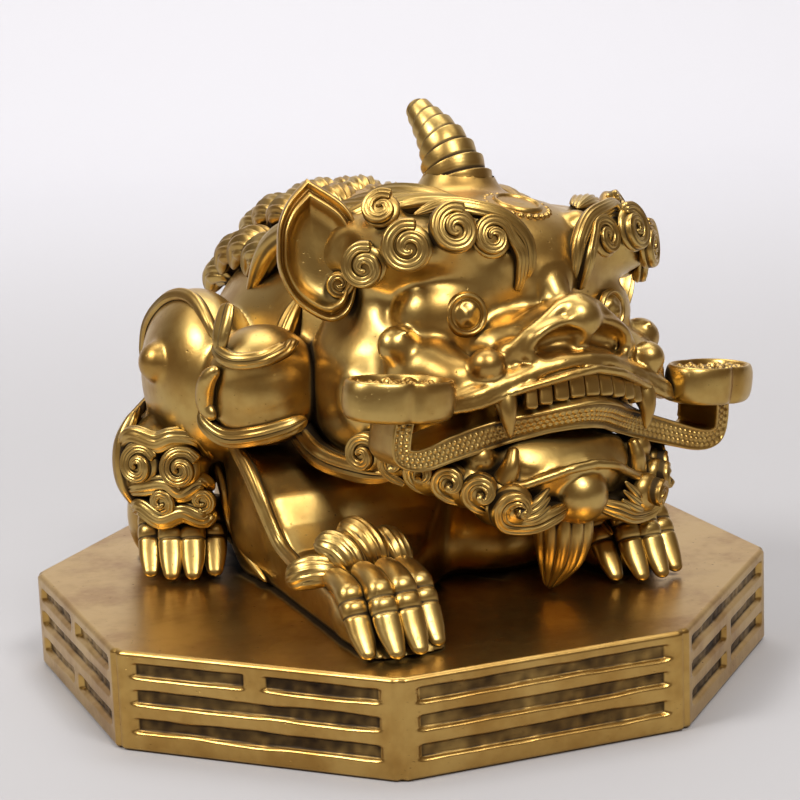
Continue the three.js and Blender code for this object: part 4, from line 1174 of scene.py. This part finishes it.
def plinth(depth):
    """Octagonal block as one surface: a ring that follows the octagon's side is carried over a profile
    from the middle of the underside, up the side and back over the top. On the side each point sinks by
    the recess depth times a soft-edged mask of the bars, whose edges wander a little."""
    per_face = 84
    edge = 2 * PLINTH_HALF * math.tan(math.pi / 8)
    share = (np.arange(per_face) + 0.5) / per_face
    lateral = np.tile((share - 0.5) * edge, 8)
    face = np.repeat(np.arange(8), per_face)
    turn = math.pi + face * math.pi / 4
    normal = np.stack([np.cos(turn), np.sin(turn)], -1)
    tangent = np.stack([-normal[:, 1], normal[:, 0]], -1)
    worn = 1 - 0.012 * step(np.abs(lateral), edge / 2 - 1.2, edge / 2)
    drawn_in = 1 - 0.006 * step(np.abs(lateral), edge / 2 - 1, edge / 2)
    ring = (PLINTH_HALF * normal) * worn[:, None] + lateral[:, None] * tangent * drawn_in[:, None]
    side_z = np.linspace(0, PLINTH_TOP, 72)
    lower, upper = np.clip(1 - side_z / 0.9, 0, 1), np.clip(1 - (PLINTH_TOP - side_z) / 0.8, 0, 1)
    inset = 0.9 * lower**2 + 0.8 * upper**2
    bottom = np.linspace(0.01, 0.985, 4)
    top = np.concatenate([np.linspace(0.985, 0.45, 56), np.linspace(0.43, 0.01, 4)])
    scale = np.concatenate([bottom, 1 - inset / PLINTH_HALF, top])
    z = np.concatenate([0 * bottom, side_z, PLINTH_TOP + 0 * top])
    is_side = np.concatenate([0 * bottom, 1 + 0 * side_z, 0 * top])[:, None]
    mask, rough = sunk_bars(lateral, face, z)
    flat = ring[None] * scale[:, None, None] - (is_side * depth * (mask * rough))[..., None] * normal[None]
    heights = np.broadcast_to(z[:, None, None], (len(z), len(ring), 1))
    # The sunk bars carry a groove value of 0.72, so their floors are darkened as tarnish and as painted
    # shade of the recess
    return closed_grid(np.concatenate([flat, heights], -1), is_side * np.clip(mask, 0, 1) * 0.72)


# Patina and painted shade: how hollow each point lies, which darkens the brass as tarnish and as shade


def point_normals(form):
    """Direction of each point: the sum of the cross products of its faces' diagonals or edges, made one
    long."""
    p, q, t = form.points, form.quads, form.tris
    quads_face = np.cross(p[q[:, 2]] - p[q[:, 0]], p[q[:, 3]] - p[q[:, 1]])
    tris_face = np.cross(p[t[:, 1]] - p[t[:, 0]], p[t[:, 2]] - p[t[:, 0]])
    total = np.zeros_like(p)
    for faces, facing in ((q, quads_face), (t, tris_face)):
        for corners in faces.T:
            for axis in range(3):
                total[:, axis] += np.bincount(corners, facing[:, axis], len(p))
    return unit(total)


def blurred(value, turns):
    """Repeated mean with the neighbours along each axis, weights 1 2 1."""
    for _ in range(turns):
        for axis in range(3):
            value = 0.5 * value + 0.25 * (np.roll(value, 1, axis) + np.roll(value, -1, axis))
    return value


def filled_space(forms, fields):
    """Grid that is 1 inside the casting and the plinth and 0 in air, for the patina and painted shade:
    inside each field, inside the block, and at the relief's own points and the points a little under them."""
    size = 0.8
    low, high = np.array([-80.0, -80.0, -4.0]), np.array([80.0, 80.0, 126.0])
    axes = [np.arange(a, b, size) for a, b in zip(low, high)]
    grid = np.stack(np.meshgrid(*axes, indexing="ij"), -1)
    solid = np.zeros(grid.shape[:3], np.float32)
    for field, turn, centre in fields:
        solid = np.maximum(solid, (field.sample((grid - centre) @ turn) < 0).astype(np.float32))
    flats = np.maximum(np.abs(grid[..., 0]), np.abs(grid[..., 1]))
    slants = (np.abs(grid[..., 0]) + np.abs(grid[..., 1])) / math.sqrt(2)
    solid[(grid[..., 2] < PLINTH_TOP) & (np.maximum(flats, slants) < PLINTH_HALF)] = 1
    for form, normals in forms:
        for under in (0.2, 0.9, 1.7):
            place = ((form.points - normals * under - low) / size).round().astype(int)
            place = np.clip(place, 0, np.array(solid.shape) - 1)
            solid[tuple(place.T)] = 1
    return low, size, solid


def looked_up(grid, low, size, points):
    """Value of the grid at each point, or at the nearest edge of the grid."""
    return weighed(grid, np.clip((points - low) / size, 0, np.array(grid.shape) - 1.001))


# Materials


class Value:
    """A number socket in a node tree that takes part in Python arithmetic: each sign adds its Math node."""

    def __init__(self, tree, socket):
        """The socket and the finish that its nodes are added to."""
        self.tree, self.socket = tree, socket

    def _with(self, operation, *others, clamp=False):
        """Math node of this value and others."""
        settings = {"operation": operation, "use_clamp": clamp}
        return self.tree.node("ShaderNodeMath", settings, dict(enumerate((self, *others)))).value()

    def __add__(self, other):
        """Sum."""
        return self._with("ADD", other)

    def __mul__(self, other):
        """Product."""
        return self._with("MULTIPLY", other)

    def __sub__(self, other):
        """Difference."""
        return self._with("SUBTRACT", other)

    def __rsub__(self, other):
        """Difference from a plain number: this value times -1, plus the number."""
        return (self * -1.0) + other

    def clamped(self):
        """The value kept between 0 and 1."""
        return self._with("ADD", 0.0, clamp=True)

    def rise(self, low, high):
        """0 below low, 1 above high, smooth between."""
        sockets = {"Value": self, "From Min": low, "From Max": high}
        return self.tree.node("ShaderNodeMapRange", {"interpolation_type": "SMOOTHSTEP"}, sockets).value()


class Made:
    """A node with ways to get at its outputs."""

    def __init__(self, tree, node):
        """The node and the finish that it belongs to."""
        self.tree, self.node = tree, node

    def out(self, name=0):
        """Output socket by its name or number."""
        return self.node.outputs[name]

    def value(self, name=0):
        """Output that takes part in arithmetic."""
        return Value(self.tree, self.out(name))


class Finish:
    """Builder of one material's node tree."""

    def __init__(self, name):
        """A new material with an empty tree."""
        self.material = bpy.data.materials.new(name)
        self.material.use_nodes = True
        self.nodes = self.material.node_tree.nodes
        self.links = self.material.node_tree.links
        self.nodes.clear()

    def node(self, kind, settings=None, sockets=None):
        """A node of a type, with its settings set first, then the values or links of its sockets."""
        made = self.nodes.new(kind)
        for key, value in (settings or {}).items():
            setattr(made, key, value)
        for key, value in (sockets or {}).items():
            socket = made.inputs[key]
            if isinstance(value, Value):
                self.links.new(value.socket, socket)
            elif isinstance(value, bpy.types.NodeSocket):
                self.links.new(value, socket)
            else:
                socket.default_value = value
        return Made(self, made)

    def mix(self, share, a, b):
        """Two colours mixed by a share."""
        return self.node("ShaderNodeMix", {"data_type": "RGBA"}, {0: share, 6: a, 7: b}).out(2)

    def noise(self, scale, detail, rough, vector=None):
        """Cloudy unevenness around 0.5, at a scale per metre, with octaves of detail that fade by
        `rough`."""
        sockets = {"Scale": scale, "Detail": detail, "Roughness": rough}
        if vector is not None:
            sockets["Vector"] = vector
        return self.node("ShaderNodeTexNoise", None, sockets).value("Fac")

    def place(self, scale=(1, 1, 1)):
        """Object coordinates, stretched by a scale on each axis."""
        where = self.node("ShaderNodeTexCoord").out("Object")
        return self.node("ShaderNodeMapping", None, {"Vector": where, "Scale": scale}).out()

    def attribute(self, name):
        """Number kept at each point of the piece."""
        return self.node("ShaderNodeAttribute", {"attribute_name": name}).value("Fac")

    def surface(self, shader):
        """The finished material, with the shader as its surface."""
        self.node("ShaderNodeOutputMaterial", None, {"Surface": shader})
        return self.material

    def brass(self, colour, rough, metal, heights):
        """Principled shader for metal, its bumps given as (height, distance) from coarse to fine."""
        normal = None
        for height, distance in heights:
            sockets = {"Height": height, "Distance": distance, "Strength": 1.0}
            if normal is not None:
                sockets["Normal"] = normal
            normal = self.node("ShaderNodeBump", None, sockets).out()
        sockets = {"Base Color": colour, "Roughness": rough, "Metallic": metal, "Normal": normal}
        return self.surface(self.node("ShaderNodeBsdfPrincipled", None, sockets).out())


def linear(colour):
    """Colour as it is picked, from 0 to 1 in each channel, in the linear numbers a shader takes:
    c / 12.92 near black, else ((c + 0.055) / 1.055)^2.4."""
    return (*[c / 12.92 if c < 0.04045 else ((c + 0.055) / 1.055) ** 2.4 for c in colour], 1.0)


def polished_brass(name, look, wear=1.0, brushed=(1, 1, 1)):
    """Cast brass, bright on what stands out, with a fine grain, small pits and a thin film that dulls the
    flats. Tarnish and painted shade = smooth step of 0.75 groove + 1.1 patina and painted shade + a share
    of the clouds; it browns, darkens and roughens the metal in grooves and hollows, partly as tarnish and
    partly as shade painted where little light reaches, and half of the film follows it."""
    m = Finish(name)
    where = m.place()
    groove, shade = m.attribute("groove"), m.attribute("patina")
    cloud = m.noise(55.0, 4.0, 0.6, where)
    fine = m.noise(420.0, 3.0, 0.6, where)
    grain = m.noise(1300.0, 3.0, 0.6, m.place(brushed))
    pits = m.node(
        "ShaderNodeTexVoronoi", {"feature": "F1"}, {"Vector": where, "Scale": 650.0, "Randomness": 1.0}
    )
    pit = 1 - pits.value("Distance").rise(0.06, 0.3)
    pit = pit * m.noise(130.0, 2.0, 0.5).rise(0.56, 0.7)
    # Tarnish and painted shade: grooves and hollows get the dark colour both as tarnish and as painted shade
    deep = (groove.rise(0.35, 0.95) * 0.75 + shade * 1.1 + (cloud - 0.5) * 0.55 * wear).rise(0.28, 0.92)
    # Half of the dulling film follows the same tarnish and painted shade
    film = (cloud * 0.7 + fine * 0.3).rise(0.42, 0.7) * 0.5 + deep * 0.5
    colour = m.mix(cloud.rise(0.35, 0.68), linear(look.bright), linear(look.warm))
    colour = m.mix(film * 0.55, colour, linear(look.dulled))
    # Grooves and hollows darkened, as tarnish and as painted shade
    colour = m.mix(deep * 0.94, colour, linear(look.tarnish))
    colour = m.mix(pit * 0.6, colour, linear(look.tarnish))
    rough = (film * 0.12 + deep * 0.24 + pit * 0.2 + fine * 0.06 + look.gloss).clamped()
    metal = 1 - deep * 0.35
    heights = [
        (m.noise(90.0, 3.0, 0.55, where), look.unevenness),
        (grain, 0.000018),
        (1 - pit, 0.00004),
    ]
    return m.brass(colour, rough, metal, heights)


# Settings


def colour_property(name, description, default):
    """Colour setting as it is picked on screen."""
    return bpy.props.FloatVectorProperty(
        name=name, description=description, default=default, size=3, subtype="COLOR_GAMMA", min=0, max=1
    )


def power_property(name, description, default):
    """Power of a light."""
    return bpy.props.FloatProperty(name=name, description=description, default=default, unit="POWER")


def length_property(name, description, default):
    """Length in metres."""
    return bpy.props.FloatProperty(name=name, description=description, default=default, unit="LENGTH")


class PlinthSettings(bpy.types.PropertyGroup):
    """Sizes of the octagonal block."""

    recess: length_property("Bar depth", "How deep the trigram bars are cast", 0.0012)


class CastingSettings(bpy.types.PropertyGroup):
    """Fineness of the fused casting."""

    body_step: length_property("Body step", "Cube size of the trunk's distance field", 0.00072)
    head_step: length_property("Head step", "Cube size of the head's distance field", 0.00059)


def finish_of(bright, warm, dulled, tarnish, gloss, unevenness):
    """The properties of one brass finish, with their defaults."""
    return {
        "bright": colour_property("Bright brass", "Colour of the polished metal", bright),
        "warm": colour_property("Warm brass", "Second colour, in clouds", warm),
        "dulled": colour_property("Dulled brass", "Colour under the thin film on the flats", dulled),
        # Dark colour of the tarnish and painted shade in grooves and hollows, and of the pits
        "tarnish": colour_property("Tarnish", "Colour that stays in grooves", tarnish),
        "gloss": bpy.props.FloatProperty(
            name="Roughness", description="Roughness of the polished metal", default=gloss, min=0, max=1
        ),
        "unevenness": length_property("Unevenness", "Height of the cast surface's waves", unevenness),
    }


class BeastFinish(bpy.types.PropertyGroup):
    """Golden polished brass of the beast."""

    # Fourth colour: the tarnish and painted shade of grooves and hollows
    __annotations__ = finish_of(
        (0.78, 0.66, 0.39), (0.72, 0.57, 0.30), (0.54, 0.41, 0.22), (0.12, 0.075, 0.03), 0.29, 0.00003
    )


class PlinthFinish(bpy.types.PropertyGroup):
    """Browner brass of the block."""

    # Fourth colour: the tarnish and painted shade of grooves and hollows
    __annotations__ = finish_of(
        (0.77, 0.63, 0.36), (0.69, 0.53, 0.27), (0.48, 0.35, 0.18), (0.13, 0.085, 0.04), 0.26, 0.00003
    )


class StageSettings(bpy.types.PropertyGroup):
    """Floor, wall and light."""

    floor: colour_property("Floor", "Colour of the floor round the plinth", (0.66, 0.655, 0.66))
    wall_colour: colour_property("Wall", "Colour of the sweep far behind", (0.83, 0.83, 0.85))
    key: power_property("Soft boxes", "Power of the two boxes", 17.0)
    ceiling: power_property("Ceiling", "Power of the overhead light", 9.0)
    wall: power_property("Wall light", "Power of the light on the wall", 11.0)


# Operators

# Form of each piece by its name, and the two fields, all kept for the patina and painted shade
MADE = {}
# From the far ear's mirrored place to the edge of it that shows in the photo
FAR_EAR_SHIFT = (2.5, 0.5, -2.2)


class Piece(bpy.types.Operator):
    """Common part of the operators that make pieces."""

    bl_options = {"REGISTER"}

    def keep(self, name, forms, slot="brass_beast", replaces=None):
        """Joins the forms into one piece, puts it in the scene and remembers it for the patina and painted
        shade.
        """
        form = joined(forms)
        MADE[name] = form
        put(name, form, replaces)
        return {"FINISHED"}


class FIGURE_OT_plinth(Piece):
    """Octagonal block with the eight trigrams cast into its sides."""

    bl_idname = "figure.plinth"
    bl_label = "Plinth"

    def execute(self, context):
        depth = context.scene.figure_plinth.recess / MM
        return self.keep("octagon_block", [plinth(depth)], "brass_plinth", "trigram_plinth")


class FIGURE_OT_body(Piece):
    """Fused trunk, limbs and haunches."""

    bl_idname = "figure.body"
    bl_label = "Body"

    def execute(self, context):
        MADE["body_field"] = body_casting(context.scene.figure_casting.body_step / MM)
        return self.keep("beast_trunk", [MADE["body_field"].surface()], replaces="beast")


class FIGURE_OT_head(Piece):
    """Fused skull, muzzle, jaws and cheeks."""

    bl_idname = "figure.head"
    bl_label = "Head"

    def execute(self, context):
        MADE["head_field"] = head_casting(context.scene.figure_casting.head_step / MM)
        return self.keep("beast_head", on_head([MADE["head_field"].surface()]))


class FIGURE_OT_face(Piece):
    """Pupils, teeth, fangs, ears, horn and jewel."""

    bl_idname = "figure.face"
    bl_label = "Face pieces"

    def execute(self, context):
        self.keep("pupils", on_head(both_sides(eye())))
        self.keep("teeth_and_fangs", on_head(teeth()))
        near = [form.moved(MIRROR) for form in ear()]
        far = [form.moved(origin=FAR_EAR_SHIFT) for form in ear()]
        self.keep("ears", on_head(near + far))
        self.keep("stepped_horn", on_head(horn()))
        return self.keep("crown_jewel", on_head(jewel()))


class FIGURE_OT_curls(Piece):
    """Snail curls and strands of brow, crown, cheek and beard."""

    bl_idname = "figure.curls"
    bl_label = "Curls and beard"

    def execute(self, context):
        self.keep("brow_curls", on_head(both_sides(brow_curls() + brow_strands())))
        self.keep("crown_locks", on_head(both_sides(crown_locks())))
        self.keep("cheek_cords", on_head(both_sides(cheek_cord())))
        return self.keep("beard_and_jaw_curls", on_head(beard()))


class FIGURE_OT_limbs(Piece):
    """Toes, wrist fur, cords and cuffs of the limbs."""

    bl_idname = "figure.limbs"
    bl_label = "Limb pieces"

    def execute(self, context):
        self.keep("toes", paws())
        self.keep("wrist_fur", wrist_fur())
        self.keep("leg_bands", both_sides(leg_bands()))
        return self.keep("haunch_trim", both_sides(haunch_trim()))


class FIGURE_OT_mane(Piece):
    """Tufts down the back and the tail."""

    bl_idname = "figure.mane"
    bl_label = "Mane and tail"

    def execute(self, context):
        self.keep("back_tufts", back_tufts())
        return self.keep("flame_tail", tail())


class FIGURE_OT_sceptre(Piece):
    """Sceptre held across the jaws."""

    bl_idname = "figure.sceptre"
    bl_label = "Sceptre"

    def execute(self, context):
        return self.keep("held_sceptre", on_head(sceptre()), "brass_ruyi", "ruyi_sceptre")


class FIGURE_OT_patina_and_shade(bpy.types.Operator):
    """Works out how hollow each point lies and writes it to the pieces as patina and painted shade: darker
    where the space around a point is full, in hollows, between parts and where the figure meets the plinth.
    """

    bl_idname = "figure.patina"
    bl_label = "Patina"

    def execute(self, context):
        # Patina and painted shade = 0.6 x a step of how full the space is just outside the point, blurred a
        # little, and 0.7 x a step of how full it is further out, blurred widely: an occlusion that darkens
        # hollows
        near_reach, wide_reach = 1.1, 2.6
        normals = {name: point_normals(form) for name, form in MADE.items() if isinstance(form, Form)}
        smooth = ("octagon_block", "beast_trunk", "beast_head")
        relief = [(MADE[name], out) for name, out in normals.items() if name not in smooth]
        fields = [(MADE["body_field"], np.eye(3), np.zeros(3)), (MADE["head_field"], HEAD_AXES, HEAD_CENTRE)]
        low, size, solid = filled_space(relief, fields)
        near = blurred(solid, 3)
        wide = blurred(near, 24)
        for made in SEEN:
            form, out = MADE[made.name], normals[made.name]
            tight = looked_up(near, low, size, form.points + near_reach * out)
            broad = looked_up(wide, low, size, form.points + wide_reach * out)
            # Painted shade and patina: the fuller the space outside a point, the darker its brass
            shade = step(tight, 0.30, 0.85) * 0.6 + step(broad, 0.34, 0.74) * 0.7
            store(made.data, "patina", shade)
        return {"FINISHED"}


class FIGURE_OT_finishes(bpy.types.Operator):
    """Gives every piece its brass."""

    bl_idname = "figure.finishes"
    bl_label = "Finishes"

    def execute(self, context):
        scene = context.scene
        beast = polished_brass("golden_brass", scene.figure_beast_finish)
        block = polished_brass("block_brass", scene.figure_plinth_finish, 1.2, (1, 1, 0.08))
        for made in SEEN:
            made.data.materials.append(block if made.name == "octagon_block" else beast)
        return {"FINISHED"}


# Stage, in metres and degrees: an azimuth of 0 is at -Y, and the camera's own is the first value here
VIEW_AZIMUTH = -21.8
CAMERA_AT = (-0.19156, -0.48253, 0.17214)
CAMERA_RIGHT = (0.9248, -0.3787, -0.0371)
CAMERA_UP = (0.1154, 0.186, 0.9757)
CAMERA_LENS = 109.06
ROOM_COLOUR = (0.035, 0.025, 0.018, 1)
ROOM_STRENGTH = 4.5
LIGHTS_AIM = (0, 0, 0.06)


def sweep(look):
    """Floor that turns up into a wall by a quarter circle, far behind the figure as the camera sees it.
    Its colour goes from the floor's to the wall's with the distance away."""
    columns, reach, near, bend, bow = 12, 2.2, -0.42, 0.82, 0.45
    turn = np.linspace(0, np.pi / 2, 60)[1:]
    away = np.concatenate([np.linspace(near, bend, 20), bend + bow * np.sin(turn), np.full(8, bend + bow)])
    high = np.concatenate([np.zeros(20), bow - bow * np.cos(turn), bow + np.linspace(0.1, 1.4, 8)])
    wide = np.linspace(-reach, reach, columns)
    grid = np.stack(np.broadcast_arrays(wide[None], away[:, None], high[:, None]), -1)
    grid = grid @ turned("Z", math.radians(VIEW_AZIMUTH)).T
    index = np.arange(len(away) * columns).reshape(len(away), columns)
    quads = np.stack([index[:-1, :-1], index[:-1, 1:], index[1:, 1:], index[1:, :-1]], -1).reshape(-1, 4)
    mesh = bpy.data.meshes.new("sweep")
    mesh.from_pydata(grid.reshape(-1, 3).tolist(), [], quads.tolist())
    mesh.shade_smooth()
    store(mesh, "away", np.repeat(away, columns))
    m = Finish("pale_sweep")
    colour = m.mix(m.attribute("away").rise(0.1, 1.0), linear(look.floor), linear(look.wall_colour))
    shader = m.node("ShaderNodeBsdfPrincipled", None, {"Base Color": colour, "Roughness": 0.75}).out()
    mesh.materials.append(m.surface(shader))
    return bpy.data.objects.new("sweep", mesh)


def soft_box(name, azimuth, elevation, distance, size, power):
    """Square light that faces the figure, from an azimuth counted from the camera's, an elevation and a
    distance."""
    light = bpy.data.lights.new(name, "AREA")
    light.energy, light.size = power, size
    made = bpy.data.objects.new(name, light)
    around, up = math.radians(VIEW_AZIMUTH + azimuth), math.radians(elevation)
    away = Vector((math.sin(around) * math.cos(up), -math.cos(around) * math.cos(up), math.sin(up)))
    made.location = Vector(LIGHTS_AIM) + away * distance
    made.rotation_euler = away.to_track_quat("Z", "Y").to_euler()
    return made


def wall_light(power):
    """Broad light over the figure that is aimed past it at the wall."""
    light = bpy.data.lights.new("wall_light", "AREA")
    light.energy, light.shape, light.size, light.size_y = power, "RECTANGLE", 2.4, 0.7
    made = bpy.data.objects.new("wall_light", light)
    turn = Matrix.Rotation(math.radians(VIEW_AZIMUTH), 4, "Z")
    made.matrix_world = turn @ Matrix.Translation((0, 0.3, 1.5)) @ Matrix.Rotation(math.radians(33), 4, "X")
    return made


def room():
    """World that gives a dim warm light from all sides."""
    world = bpy.data.worlds.new("room")
    world.use_nodes = True
    background = world.node_tree.nodes["Background"].inputs
    background["Color"].default_value = ROOM_COLOUR
    background["Strength"].default_value = ROOM_STRENGTH
    return world


def viewpoint():
    """Camera as it was fitted to the octagon's corners: its axes are right, up and their cross product."""
    lens = bpy.data.cameras.new("camera")
    lens.lens, lens.sensor_width, lens.sensor_fit = CAMERA_LENS, 36.0, "HORIZONTAL"
    lens.clip_start = 0.01
    camera = bpy.data.objects.new("camera", lens)
    right, up = Vector(CAMERA_RIGHT), Vector(CAMERA_UP)
    pose = Matrix((right, up, right.cross(up))).transposed().to_4x4()
    pose.translation = Vector(CAMERA_AT)
    camera.matrix_world = pose
    return camera


class FIGURE_OT_stage(bpy.types.Operator):
    """Pale sweep, soft boxes and the camera."""

    bl_idname = "figure.stage"
    bl_label = "Stage"

    def execute(self, context):
        scene, look = context.scene, context.scene.figure_stage
        backdrop = sweep(look)
        lights = [
            soft_box("box_left", -60, 46, 1.6, 0.54, look.key),
            soft_box("box_right", 30, 52, 1.6, 0.54, look.key),
            soft_box("ceiling", 180, 66, 1.7, 0.9, look.ceiling),
            wall_light(look.wall),
        ]
        scene.camera = viewpoint()
        for made in (backdrop, *lights, scene.camera):
            scene.collection.objects.link(made)
        scene.world = room()
        scene.view_settings.view_transform = "Standard"
        return {"FINISHED"}


STEPS = [
    FIGURE_OT_plinth,
    FIGURE_OT_body,
    FIGURE_OT_head,
    FIGURE_OT_face,
    FIGURE_OT_curls,
    FIGURE_OT_limbs,
    FIGURE_OT_mane,
    FIGURE_OT_sceptre,
    FIGURE_OT_patina_and_shade,
    FIGURE_OT_finishes,
    FIGURE_OT_stage,
]


SETTINGS = {
    "figure_plinth": PlinthSettings,
    "figure_casting": CastingSettings,
    "figure_beast_finish": BeastFinish,
    "figure_plinth_finish": PlinthFinish,
    "figure_stage": StageSettings,
}


class FIGURE_PT_panel(bpy.types.Panel):
    """Lists the figure's operators and settings."""

    bl_label = "Trigram Beast Figure"
    bl_space_type = "VIEW_3D"
    bl_region_type = "UI"
    bl_category = "Figure"

    def draw(self, context):
        for maker in STEPS:
            self.layout.operator(maker.bl_idname)
        for name, group in SETTINGS.items():
            column = self.layout.box()
            for key in group.__annotations__:
                column.prop(getattr(context.scene, name), key)


def register():
    """Registers the settings, the operators and the panel, and puts the settings on the scene."""
    for group in SETTINGS.values():
        bpy.utils.register_class(group)
    for maker in [*STEPS, FIGURE_PT_panel]:
        bpy.utils.register_class(maker)
    for name, group in SETTINGS.items():
        setattr(bpy.types.Scene, name, bpy.props.PointerProperty(type=group))


def unregister():
    """Undoes what register does."""
    for name in SETTINGS:
        delattr(bpy.types.Scene, name)
    for known in [FIGURE_PT_panel, *STEPS[::-1], *SETTINGS.values()]:
        bpy.utils.unregister_class(known)


def main():
    register()
    for maker in STEPS:
        getattr(bpy.ops.figure, maker.bl_idname.split(".")[1])()


if __name__ == "__main__":
    main()
